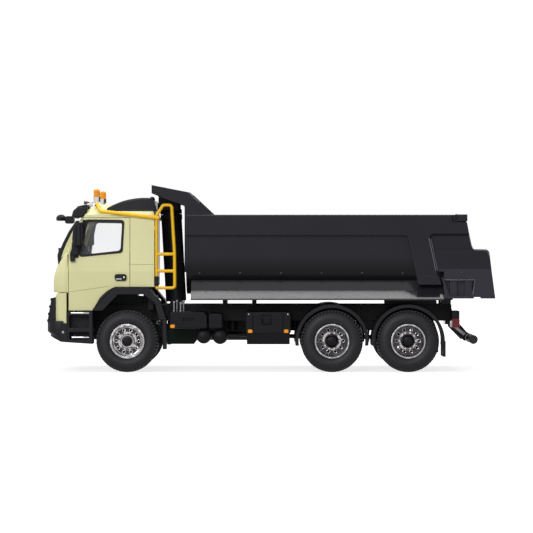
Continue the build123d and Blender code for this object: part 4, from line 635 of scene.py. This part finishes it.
def wheel_tyres():
    for side, label in ((1, "left"), (-1, "right")):
        piece = smooth(tyre(FRONT_AXLE_X, side * OUTER_WHEEL_Y))
        fit_on(piece, f"treaded_tyre_{label}", f"front_wheel_{label}", "tyre_black")
        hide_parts(f"front_tyre_{label}")
    for number, x in enumerate(REAR_AXLES_X, start=1):
        twins = [tyre(x, side * y) for side in (1, -1) for y in (OUTER_WHEEL_Y, INNER_WHEEL_Y)]
        piece = smooth(joined(twins))
        fit_on(piece, f"treaded_tyres_{number}", f"rear_axle_{number}", "tyre_black")
        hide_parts(f"rear_tyres_{number}")


NUT_CIRCLE_R = 2.95
NUTS = 10
HAND_HOLE_CIRCLE = 4.1
HAND_HOLE_R = 0.5


def nut_circle(x, face, side):
    """Ten nuts on their washers round one hub, at a distance from the middle plane."""
    seat = side * face
    nut_x = x + NUT_CIRCLE_R
    nut = hex_head((nut_x, seat, AXLE_Z), (0, side, 0), 0.58, 0.55)
    washer = round_bar((nut_x, seat - side * 0.1, AXLE_Z), (nut_x, seat + side * 0.14, AXLE_Z), 0.4)
    return around(joined([nut, bevelled(washer, 0.05, 1)]), x, AXLE_Z, NUTS)


def hole_collars(x, face, side):
    """Raised bright edges round the hand holes."""
    centre = (x + HAND_HOLE_CIRCLE, side * face, AXLE_Z)
    return around(ring(centre, HAND_HOLE_R + 0.08, 0.09, (0, 1, 0), 20), x, AXLE_Z, NUTS)


def hub_ring(x, face, side, inner, outer):
    """Polished ring standing round a hub."""
    low, high = sorted((side * (face - 0.2), side * (face + 0.28)))
    middle = (inner + outer) / 2
    profile = [(inner, low), (outer, low), (outer, high - 0.1), (middle, high), (inner, high - 0.1)]
    return turned(profile, x, AXLE_Z, 48)


def hub_cap(x, face, side, radius):
    """Dark hub cap with a stepped edge and a flat centre."""
    profile = [
        (0.02, -0.3),
        (radius, -0.3),
        (radius, 0.05),
        (radius * 0.82, 0.2),
        (radius * 0.5, 0.24),
        (0.02, 0.3),
    ]
    return turned([(r, side * (face + a)) for r, a in profile], x, AXLE_Z, 40)


def wheel_trim():
    front_disc = OUTER_WHEEL_Y + 1.22
    rear_disc = OUTER_WHEEL_Y - 1.2
    for side, label in ((1, "left"), (-1, "right")):
        body = f"front_wheel_{label}"
        bright = [
            nut_circle(FRONT_AXLE_X, front_disc, side),
            hole_collars(FRONT_AXLE_X, front_disc + 0.12, side),
            hub_ring(FRONT_AXLE_X, OUTER_WHEEL_Y + 2.35, side, 1.95, 2.25),
        ]
        trim = smooth(joined(bright))
        fit_on(trim, f"front_wheel_trim_{label}", body, "rim_metal", "nut_plating")
        cap = smooth(hub_cap(FRONT_AXLE_X, OUTER_WHEEL_Y + 2.9, side, 1.55))
        fit_on(cap, f"front_hub_cap_{label}", body, "chassis_black")
    for number, x in enumerate(REAR_AXLES_X, start=1):
        body = f"rear_axle_{number}"
        bright = []
        caps = []
        for side in (1, -1):
            bright.append(nut_circle(x, rear_disc, side))
            bright.append(hole_collars(x, rear_disc, side))
            bright.append(hub_ring(x, rear_disc + 0.35, side, 2.25, 2.6))
            caps.append(hub_cap(x, OUTER_WHEEL_Y + 1.9, side, 1.45))
        trim = smooth(joined(bright))
        fit_on(trim, f"rear_wheel_trim_{number}", body, "rim_metal", "nut_plating")
        fit_on(smooth(joined(caps)), f"rear_hub_caps_{number}", body, "chassis_black")


# Bed

BED_SHELL_HALF = 23.6
BED_PIPE_R = 15.0
BED_PIPE_Z = 43.0
RIVET_Z = 35.7
RIVETS_X = [25.7 - 14.7 * index for index in range(6)]
TAIL_RIVET = (-68.8, 24.2, 36.0)
RIVET_HEAD = (0.48, 0.36)


def bed_rivets():
    """Row of round rivet heads low on the bed's curved sides, and one on each tail cheek."""
    drop = BED_PIPE_Z - RIVET_Z
    out = math.sqrt(BED_PIPE_R**2 - drop**2)
    normal = (0, out / BED_PIPE_R, -drop / BED_PIPE_R)
    heads = []
    for x in RIVETS_X:
        heads.append(dome((x, BED_SHELL_HALF - BED_PIPE_R + out, RIVET_Z), normal, *RIVET_HEAD))
    heads.append(dome(TAIL_RIVET, (0, 1, 0), *RIVET_HEAD))
    fit_on(paired(heads), "bed_rivets", "bed", "bed_grey", "skirt_gloss")


POST_EDGES = (
    ((-57.0, 24.93, 48.4), (-59.5, 24.93, 36.6)),
    ((-57.75, 24.32, 48.0), (-60.1, 24.32, 36.8)),
)
CHEEK_Y = 24.2
TAIL_EDGE = [
    (-70.7, 53.2), (-72.3, 45.8), (-72.8, 44.6), (-73.6, 44.0), (-77.2, 44.0), (-78.3, 43.4), (-78.8, 42.0),
]
TAIL_LEDGE = ((-62.8, 24.7, 33.3), (-73.6, 24.7, 33.3), (-72.9, 24.7, 28.0))
CANOPY_EDGE = ((29.5, 24.4, 64.6), (25.6, 24.4, 61.0))
EDGE_BEAD_R = 0.17


def bed_edge_beads():
    """Glossy beads in a paler paint that stands in for the highlights of rounded edges (painted highlight),
    on the posts' rear edges, round the tail cheeks and on the canopy's slope.
    """
    beads = [bead(edge, EDGE_BEAD_R) for edge in (*POST_EDGES, CANOPY_EDGE)]
    beads.append(bead([(x, CHEEK_Y, z) for x, z in TAIL_EDGE], EDGE_BEAD_R))
    beads.append(bead(TAIL_LEDGE, EDGE_BEAD_R))
    fit_on(paired(beads, 60), "bed_edge_beads", "bed", "bed_grey", "edge_painted_highlight")


HINGE_CAP = (-67.0, 25.0, 55.7)


def tailgate_hinge_caps():
    """Bolt heads on the outer ends of the tailgate's two hinge arms."""
    caps = [hex_head(HINGE_CAP, (0, 1, 0), 1.1, 0.25)]
    fit_on(joined(both_sides(caps)), "tailgate_hinge_caps", "tailgate", "chassis_black")


HOIST_FOOT = (34.9, 24.0)
HOIST_LEAN = 3.23
# Radius and distance from the foot, along the ram
CROWN = [(3.55, 33.4), (4.0, 33.4), (4.0, 34.8), (3.8, 35.1), (1.0, 35.15), (1.0, 34.78), (3.4, 34.75)]
HEAD_PLATE = [(33.4, 58.6), (41.3, 58.6), (41.3, 66.55), (33.4, 65.0)]
HEAD_PLATE_Y = (4.4, 5.2)


def hoist_head():
    """Cap over the ram's stages, and the side plates of the bracket under the canopy."""
    crown = turned(CROWN, 0, 0, 40)
    crown.rotation_euler = (math.radians(90), math.radians(HOIST_LEAN), 0)
    crown.location = (HOIST_FOOT[0] * MM, 0, HOIST_FOOT[1] * MM)
    fit_on(smooth(settle(crown)), "hoist_crown", "hoist_rod", "chassis_black")
    plate = cheek(HEAD_PLATE, *HEAD_PLATE_Y, 0.2)
    fit_on(paired([plate], PLATE_ANGLE), "hoist_head_plates", "bed", "chassis_black")


# Cab

# Rear and front ends and the height of each step's underside and top
STEPS = ((65.4, 72.0, 21.2, 21.6), (65.4, 71.7, 12.4, 12.8))
STUDS = 9


def step_treads():
    """Pale tread plates with raised studs along the edges of the entry steps."""
    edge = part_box("entry_steps")[1][1] / MM
    plates = []
    for x_low, x_high, z_low, z_high in STEPS:
        plates.append(bar((x_low, x_high), (edge - 1.2, edge + 0.14), (z_low, z_high), 0.1))
        for index in range(STUDS):
            x = x_low + 0.5 + (x_high - x_low - 1.0) * index / (STUDS - 1)
            plates.append(dome((x, edge - 0.5, z_high), (0, 0, 1), 0.22, 0.14))
    fit_on(paired(plates), "step_treads", "chassis", "bright_metal")


CORNER_REAR_X = 73.3
CORNER_FOOT_Z = 28.8
CORNER_PLAN = [
    (73.3, 23.7), (75.6, 23.5), (77.2, 22.7), (78.3, 21.3), (78.7, 19.4),
    (79.1, 14.7), (74.6, 14.7), (73.3, 19.0),
]
CORNER_STEPS = [
    ((0, 0, 2.6), 1.0),
    ((0, 0, 2.6), 0.985),
    ((0, -0.05, 2.0), 0.90),
    ((0, -0.10, 2.2), 0.80),
    ((0, -0.15, 2.4), 0.68),
    ((0, -0.15, 2.2), 0.45),
]


def front_corner_panels():
    """Swept panels over the cab's front corners, fullest low down and run out towards the windscreen."""
    foot = sheet([(x, y, CORNER_FOOT_Z) for x, y in CORNER_PLAN])
    panel = bevelled(raised(foot, CORNER_STEPS, CORNER_REAR_X), 0.25)
    fit_on(paired([panel], 50), "front_corner_panels", "chassis", "cab_cream")


LAMP_CHEEK = [(76.6, 27.3), (79.3, 26.7), (80.1, 22.0), (80.6, 19.2), (80.6, 17.4), (76.6, 17.2)]
LAMP_OUTER_Y = (20.6, 21.5)
LAMP_INNER_Y = (14.3, 14.8)
# Height and front edge of each fin
LAMP_FINS = ((26.2, 79.7), (23.6, 80.2), (21.0, 80.6), (18.6, 80.9))
FIN_Y = (14.6, 21.6)
FIN_DEPTH = 1.2
FIN_HALF = 0.45


def lamp_surrounds():
    """Dark frames round the headlamps: a cheek at each end and four fins that step forward."""
    pieces = [cheek(LAMP_CHEEK, *LAMP_OUTER_Y, 0.2), cheek(LAMP_CHEEK, *LAMP_INNER_Y, 0.15)]
    for z, front in LAMP_FINS:
        pieces.append(bar((front - FIN_DEPTH, front), FIN_Y, (z - FIN_HALF, z + FIN_HALF), 0.18))
    fit_on(joined(both_sides(pieces)), "lamp_surrounds", "chassis", "black_plastic")


HORN_REAR_X = 74.6
HORN_FOOT_Z = 11.1
HORN_FOOT_SHARE = 0.25
HORN_PLAN = [
    (74.6, 24.7), (77.6, 24.3), (79.6, 23.0), (80.6, 21.2), (80.9, 19.0), (80.9, 12.0), (74.6, 12.0),
]
HORN_STEPS = [((0, 0, 1.7), 2.4), ((0, 0, 1.8), 1.0 / 0.60), ((0, 0, 3.9), 1.0)]


def bumper_horns():
    """Full corners of the bumper, cut back underneath."""
    foot = []
    for x, y in HORN_PLAN:
        foot.append((HORN_REAR_X + (x - HORN_REAR_X) * HORN_FOOT_SHARE, y, HORN_FOOT_Z))
    horn = bevelled(raised(sheet(foot), HORN_STEPS, HORN_REAR_X), 0.25)
    fit_on(paired([horn], 40), "bumper_horns", "chassis", "black_plastic")


DEFLECTOR_SIDE = [
    (59.2, 58.0), (59.3, 59.2), (57.0, 60.4), (54.6, 61.3), (50.0, 62.4), (46.5, 62.8),
    (43.8, 62.7), (42.4, 61.9), (41.6, 59.8), (41.2, 58.0),
]
DEFLECTOR_SIDE_Y = (17.6, 21.3)
DEFLECTOR_FOLD = ((42.2, 58.6), (21.0, 21.5), (58.1, 58.5))


def deflector_sides():
    """Side walls of the roof deflector, down to the roof's edge, with a fold line along the foot."""
    wall = cheek(DEFLECTOR_SIDE, *DEFLECTOR_SIDE_Y, 0.35)
    fold = bar(*DEFLECTOR_FOLD, 0.1)
    fit_on(paired([wall, fold], PLATE_ANGLE), "deflector_sides", "chassis", "bed_grey")


VISOR_END = [(66.2, 59.6), (69.6, 59.8), (71.4, 58.4), (72.0, 56.2), (69.3, 55.7), (66.7, 56.2)]
VISOR_END_Y = (19.0, 21.7)


def visor_ends():
    """Full ends of the sun visor."""
    end = cheek(VISOR_END, *VISOR_END_Y, 0.5)
    fit_on(paired([end], PLATE_ANGLE), "visor_ends", "chassis", "black_plastic")


FRONT_MIRROR = (79.0, -16.0, 55.9)
FRONT_MIRROR_RADII = (1.9, 2.5, 1.55)


def front_mirror_shell():
    """Rounded shell ahead of the front mirror's arm."""
    shell = cut_ball(-0.55, 24, 16)
    shell.scale = Vector(FRONT_MIRROR_RADII) * MM
    shell.location = Vector(FRONT_MIRROR) * MM
    fit_on(smooth(settle(shell)), "front_mirror_shell", "chassis", "black_plastic")


PILLAR_EDGE = [(70.4, 54.7), (73.0, 50.9), (75.3, 46.4), (76.5, 43.4), (77.0, 41.6)]
GUIDE_WIDTH = 1.4
GUIDE_Y = (19.2, 21.0)
FILLET_WIDTH = 2.0
FILLET_Y = (19.4, 20.8)
FILLET_LAP = 0.3


def pillar_trims():
    """Black air guides along both edges of the windscreen, on cream fillets."""
    inner = [(x - GUIDE_WIDTH, z) for x, z in PILLAR_EDGE]
    rear = [(x - FILLET_WIDTH, z) for x, z in inner]
    guide = cheek(PILLAR_EDGE + inner[::-1], *GUIDE_Y, 0.3)
    fillet = cheek([(x + FILLET_LAP, z) for x, z in inner] + rear[::-1], *FILLET_Y, 0.2)
    fit_on(paired([guide], PLATE_ANGLE), "pillar_guides", "chassis", "black_plastic")
    fit_on(paired([fillet], PLATE_ANGLE), "pillar_fillets", "chassis", "cab_cream")


QUARTER_CARD = [(68.1, 42.2), (66.3, 54.3), (66.9, 54.5), (68.4, 49.8), (69.9, 45.0), (70.4, 42.2)]
QUARTER_CARD_Y = (21.35, 21.65)
DOOR_CARD = [(52.6, 31.2), (52.6, 41.6), (71.6, 41.6), (72.0, 36.5), (71.8, 31.2), (65.0, 30.8)]
DOOR_CARD_Y = (22.3, 22.75)
ARMREST = ((55.0, 66.0), (21.2, 22.5), (37.4, 38.6))
GRAB_HANDLE = [(68.6, 22.3, 34.0), (68.6, 21.5, 34.6), (68.6, 21.5, 39.6), (68.6, 22.3, 40.2)]


def door_cards():
    """Dark linings inside the doors, with an armrest and a grab handle."""
    pieces = [
        cheek(QUARTER_CARD, *QUARTER_CARD_Y, 0.08),
        cheek(DOOR_CARD, *DOOR_CARD_Y, 0.12),
        bar(*ARMREST, 0.3),
        bead(GRAB_HANDLE, 0.3),
    ]
    fit_doors(smooth(joined(pieces), 40), "door_card", "interior_grey")


BINNACLE = [(71.0, 41.5), (71.2, 44.8), (70.0, 46.2), (67.2, 45.7), (66.3, 43.5), (67.4, 41.5)]
BINNACLE_Y = (4.6, 17.6)


def dash_binnacle():
    """Hooded instruments on the dash, ahead of the steering wheel."""
    hood = cheek(BINNACLE, *BINNACLE_Y, 0.6)
    fit_on(smooth(hood, PLATE_ANGLE), "dash_binnacle", "chassis", "interior_grey")


HANDLE_FACE_Y = 24.42
LOCK = (52.9, 34.2)
GRIP_X = (53.7, 55.8)
GRIP_Z = (33.5, 33.8)


def door_locks():
    """Lock barrel and grip lip on each door handle."""
    x, z = LOCK
    for side, label in ((1, "left"), (-1, "right")):
        face = side * HANDLE_FACE_Y
        barrel = round_bar((x, face - side * 0.2, z), (x, face + side * 0.12, z), 0.3)
        grip = bar(GRIP_X, (face - 0.1, face + 0.1), GRIP_Z, 0.05)
        lock = joined([bevelled(barrel, 0.05, 1), grip])
        fit_on(lock, f"door_lock_{label}", f"door_{label}", "bright_metal")


MIRROR_BACK = [
    (69.6, 53.7), (70.5, 52.6), (71.0, 50.4), (71.2, 48.0), (71.1, 46.2), (70.6, 45.4), (69.6, 45.7),
]
MIRROR_Y = (24.5, 28.7)
MIRROR_RIM_X = (67.45, 68.0)
MIRROR_RIMS_Y = ((24.5, 24.85), (28.35, 28.7))
MIRROR_RIMS_Z = ((45.9, 46.3), (49.6, 50.0), (53.5, 53.8))
MIRROR_RIM_SPAN_Z = (45.9, 53.8)
CORNER_TRIM = [
    (69.3, 41.3), (66.8, 55.0), (67.6, 55.1), (69.6, 50.2), (71.4, 45.7), (72.4, 43.0), (72.4, 41.0),
]
CORNER_TRIM_Y = (22.6, 23.95)


def mirror_housings():
    """Bulged back and raised rim of each door mirror, and the black corner trim it stands on."""
    pieces = [cheek(MIRROR_BACK, *MIRROR_Y, 0.5), cheek(CORNER_TRIM, *CORNER_TRIM_Y, 0.2)]
    for rim_y in MIRROR_RIMS_Y:
        pieces.append(bar(MIRROR_RIM_X, rim_y, MIRROR_RIM_SPAN_Z, 0.1))
    for rim_z in MIRROR_RIMS_Z:
        pieces.append(bar(MIRROR_RIM_X, MIRROR_Y, rim_z, 0.1))
    fit_doors(smooth(joined(pieces), PLATE_ANGLE), "mirror_housing", "black_plastic")


ARCH_TRIM = [
    (64.2, 22.55), (63.6, 23.4), (63.0, 24.4), (62.3, 25.7), (61.4, 27.0), (60.5, 28.0), (59.4, 28.95),
    (58.4, 29.65), (57.4, 30.25), (56.5, 30.65),
]
ARCH_TRIM_Y = (23.4, 24.75)


def door_arch_trims():
    """Black lips on the doors' lower edges that round off the wheel arches."""
    lip = cheek(ARCH_TRIM, *ARCH_TRIM_Y, 0.25)
    fit_doors(smooth(lip, PLATE_ANGLE), "door_arch_trim", "black_plastic")


PANE_X = (67.82, 68.0)
PANE_Y = (24.8, 28.4)
PANES_Z = ((46.3, 49.6), (50.0, 53.5))
FRONT_PANE = ((74.4, 77.0), (-18.0, -14.0), (53.93, 54.1))


def mirror_glasses():
    """Silvered panes let into the rear faces of the door mirrors and under the front mirror."""
    for side, label in ((1, "left"), (-1, "right")):
        pane_y = [side * y for y in PANE_Y]
        panes = [bar(PANE_X, pane_y, pane_z, 0.06) for pane_z in PANES_Z]
        fit_on(joined(panes), f"mirror_glass_{label}", f"door_{label}", "bright_metal")
    fit_on(bar(*FRONT_PANE, 0.05), "front_mirror_glass", "chassis", "bright_metal")


LADDER_STILE = (41.2, 22.8)
SLEEVE = [(0.6, 31.1), (0.86, 31.1), (0.9, 31.5), (0.9, 34.2), (0.86, 34.6), (0.6, 34.6)]


def ladder_sleeve():
    """Black rubber sleeve on the ladder's front stile above its lowest rung."""
    fit_on(smooth(upright(SLEEVE, *LADDER_STILE, 24)), "ladder_sleeve", "chassis", "black_plastic")


DISH = [(0.05, -0.5), (0.6, -0.35), (1.1, 0.1), (1.2, 0.1), (1.2, -0.7), (0.05, -0.7)]
DISH_Z = 23.4
DISHES_Y = (16.2, 18.9)
# Setback at the lamp's inner end, and what it gains per millimetre outwards
DISH_SETBACK = 0.45
LAMP_END_Y = 14.6
LAMP_SWEEP = 0.22


def headlamp_dishes():
    """Two reflector dishes behind each headlamp's clear cover, the outer one set further back."""
    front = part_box("headlamps")[1][0] / MM
    dishes = []
    for y in DISHES_Y:
        dish = turned(DISH, 0, 0, 28)
        dish.rotation_euler = (0, 0, math.radians(-90))
        back = DISH_SETBACK + (y - LAMP_END_Y) * LAMP_SWEEP
        dish.location = ((front - back) * MM, y * MM, DISH_Z * MM)
        dishes.append(settle(dish))
    fit_on(paired(dishes), "headlamp_dishes", "chassis", "bright_metal")


# Chassis

FRAME_HALF = 8.5
FRAME_BOLTS_X = [60.0 - 5.5 * index for index in range(23)]
FRAME_BOLTS_Z = (19.6, 22.5)
FRAME_BOLT = (0.62, 0.3)


def frame_bolts():
    """Bolt heads on the frame rails' outer webs: a full row, and one above every other bolt."""
    low, high = FRAME_BOLTS_Z
    heads = []
    for index, x in enumerate(FRAME_BOLTS_X):
        heads.append(hex_head((x, FRAME_HALF, low), (0, 1, 0), *FRAME_BOLT))
        if index % 2:
            heads.append(hex_head((x, FRAME_HALF, high), (0, 1, 0), *FRAME_BOLT))
    fit_on(joined(both_sides(heads)), "frame_bolts", "chassis", "chassis_black")


PACKING = ((-61.0, -42.5), (6.5, 8.4), (24.0, 25.6))


def frame_packing():
    """Rubber packing strips on the rear of the frame rails, under the bed's runners."""
    strips = [bar(*PACKING, 0.2)]
    fit_on(joined(both_sides(strips)), "frame_packing", "chassis", "tyre_black")


# Place and top of each coupling
COUPLINGS = ((35.0, 21.0, 25.6), (34.0, 19.4, 26.0), (32.6, 21.2, 25.2), (31.6, 19.0, 25.8))
COUPLING_FOOT = [(0.02, 21.6), (0.55, 21.6), (0.55, 22.3), (0.32, 22.5)]


def air_fittings():
    """Four upright couplings with collars on the service box, behind the cab."""
    stubs = []
    for x, y, top in COUPLINGS:
        collar = [(0.32, top - 0.9), (0.5, top - 0.8), (0.5, top), (0.02, top)]
        stubs.append(upright(COUPLING_FOOT + collar, x, y, 20))
    fit_on(smooth(joined(stubs)), "air_fittings", "chassis", "bright_metal", "dull_metal")


REFLECTOR = (74.8, 24.78, 14.4)


def bumper_reflectors():
    """Small round reflectors low on the bumper's sides."""
    head = dome(REFLECTOR, (0, 1, 0), 0.5, 0.2)
    fit_on(paired([head]), "bumper_reflectors", "chassis", "bright_metal", "dull_metal")


UNDERRUN_BAR = (-73.1, 11.8)
UNDERRUN_CAP = [
    (0.05, 23.3), (1.42, 23.3), (1.62, 23.5), (1.62, 23.9), (1.45, 24.1),
    (1.1, 24.1), (1.0, 23.9), (0.05, 23.85),
]
UNDERRUN_STRAP = [(1.42, 6.7), (1.62, 6.7), (1.62, 8.8), (1.42, 8.8)]
UNDERRUN_PLATE = [(-66.4, 16.2), (-68.2, 16.2), (-71.8, 13.3), (-70.9, 12.6)]
UNDERRUN_PLATE_Y = (8.4, 8.8)


def underrun_caps():
    """Rubber caps with a rolled edge on both ends of the underrun bar."""
    fit_on(paired([turned(UNDERRUN_CAP, *UNDERRUN_BAR, 36)]), "underrun_caps", "chassis", "tyre_black")


def underrun_brackets():
    """Bare metal clamps that hold the underrun bar to its arms."""
    strap = turned(UNDERRUN_STRAP, *UNDERRUN_BAR, 36)
    clamps = [cheek(UNDERRUN_PLATE, *UNDERRUN_PLATE_Y, 0.1), strap]
    fit_on(paired(clamps), "underrun_brackets", "chassis", "bright_metal", "dull_metal")


# Name, slot and span of each field on a tail lamp
LAMP_FIELDS = (("indicator", "amber_lens", (19.6, 22.4)), ("reversing", "clear_lens", (12.2, 14.4)))
FIELD_X = (-68.3, -68.1)
FIELD_Z = (16.4, 18.9)


def lamp_segments():
    """Amber and clear fields beside the red of each tail lamp, on its rear face."""
    for name, slot, span in LAMP_FIELDS:
        field = bar(FIELD_X, span, FIELD_Z, 0.06)
        fit_on(joined(both_sides([field])), f"{name}_lamps", "chassis", slot)


LID_SCREWS = ((-6.2, 23.8, 20.9), (7.9, 23.8, 20.9))


def battery_lid_screws():
    """Screw heads in the upper corners of the battery box lid."""
    heads = [dome(place, (0, 1, 0), 0.3, 0.15) for place in LID_SCREWS]
    fit_on(smooth(joined(heads)), "battery_lid_screws", "chassis", "rim_metal")


wheel_tyres()
wheel_trim()
bed_rivets()
bed_edge_beads()
tailgate_hinge_caps()
hoist_head()
step_treads()
front_corner_panels()
lamp_surrounds()
bumper_horns()
deflector_sides()
visor_ends()
front_mirror_shell()
pillar_trims()
door_cards()
dash_binnacle()
door_locks()
door_arch_trims()
mirror_housings()
mirror_glasses()
ladder_sleeve()
headlamp_dishes()
frame_bolts()
frame_packing()
air_fittings()
bumper_reflectors()
underrun_caps()
underrun_brackets()
lamp_segments()
battery_lid_screws()


# Studio

def seen_directly(shade):
    """1 for the camera and for what shows in metal or glass, 0 for light that falls on the truck."""
    path = shade.node("ShaderNodeLightPath").outputs
    rays = [Wire(shade, path[name]) for name in ("Is Camera Ray", "Is Glossy Ray", "Is Transmission Ray")]
    return (rays[0] + rays[1] + rays[2]).least(1.0)


def studio_floor():
    deselect()
    bpy.ops.mesh.primitive_plane_add(size=8.0, location=(0, 0, -0.00003))
    floor = bpy.context.object
    floor.name = "studio_floor"
    settle(floor)
    shade = Shade("studio_floor")
    cloud = shade.noise(3.0, 2.0)
    x, y, _ = shade.axes()
    away = ((x * x + y * y) ** 0.5).rising(0.10, 0.45)
    base = shade.blend(cloud, (0.27, 0.27, 0.27), (0.29, 0.29, 0.29))
    glow = shade.blend(away, (0.78, 0.78, 0.78), (1.0, 1.0, 1.0))
    plain = shade.node("ShaderNodeBsdfPrincipled", {"Base Color": base, "Roughness": 0.9})
    lit = shade.node("ShaderNodeBsdfPrincipled", {
        "Base Color": base, "Roughness": 0.9, "Emission Color": glow, "Emission Strength": 1.0,
    })
    shaders = {0: seen_directly(shade), 1: plain.outputs[0], 2: lit.outputs[0]}
    mix = shade.node("ShaderNodeMixShader", shaders)
    shade.node("ShaderNodeOutputMaterial", {"Surface": mix.outputs[0]})
    floor.data.materials.append(shade.material)


class WorldShade(Shade):
    """The studio's surroundings, wired in the same way as a material."""

    def __init__(self, name):
        self.world = bpy.data.worlds.new(name)
        self.world.use_nodes = True
        self.tree = self.world.node_tree
        self.tree.nodes.clear()


def studio_world():
    shade = WorldShade("studio")
    dim = shade.node("ShaderNodeBackground", {"Color": (0.55, 0.55, 0.57, 1), "Strength": 0.45})
    white = shade.node("ShaderNodeBackground", {"Color": (1, 1, 1, 1), "Strength": 1.0})
    shaders = {0: seen_directly(shade), 1: dim.outputs[0], 2: white.outputs[0]}
    mix = shade.node("ShaderNodeMixShader", shaders)
    shade.node("ShaderNodeOutputWorld", {"Surface": mix.outputs[0]})
    bpy.context.scene.world = shade.world


LIT_POINT = (0.0, 0.0, 0.03)


def soft_box(name, place, size, watts):
    """Soft studio lamp turned to the middle of the truck."""
    deselect()
    bpy.ops.object.light_add(type="AREA", location=place)
    lamp = bpy.context.object
    lamp.name = name
    lamp.data.shape = "RECTANGLE"
    lamp.data.size, lamp.data.size_y = size
    lamp.data.energy = watts
    lamp.rotation_euler = (Vector(LIT_POINT) - Vector(place)).to_track_quat("-Z", "Y").to_euler()


CAMERA_PLACE = (0.001494, 0.871, 0.0448)
CAMERA_DIP = 0.451
LENS_MM = 158.7
SENSOR_MM = 36.0


def photo_camera():
    deselect()
    tilt = math.radians(90 - CAMERA_DIP)
    bpy.ops.object.camera_add(location=CAMERA_PLACE, rotation=(tilt, 0, math.pi))
    camera = bpy.context.object
    camera.name = "photo_camera"
    camera.data.sensor_width = SENSOR_MM
    camera.data.lens = LENS_MM
    camera.data.clip_start = 0.01
    camera.data.dof.use_dof = False
    bpy.context.scene.camera = camera


studio_floor()
studio_world()
soft_box("top_box", (0.0, 0.0, 0.85), (1.3, 0.32), 9.5)
soft_box("front_box", (0.35, 0.95, 0.45), (0.7, 0.5), 7.8)
photo_camera()
bpy.context.scene.view_settings.view_transform = "Standard"
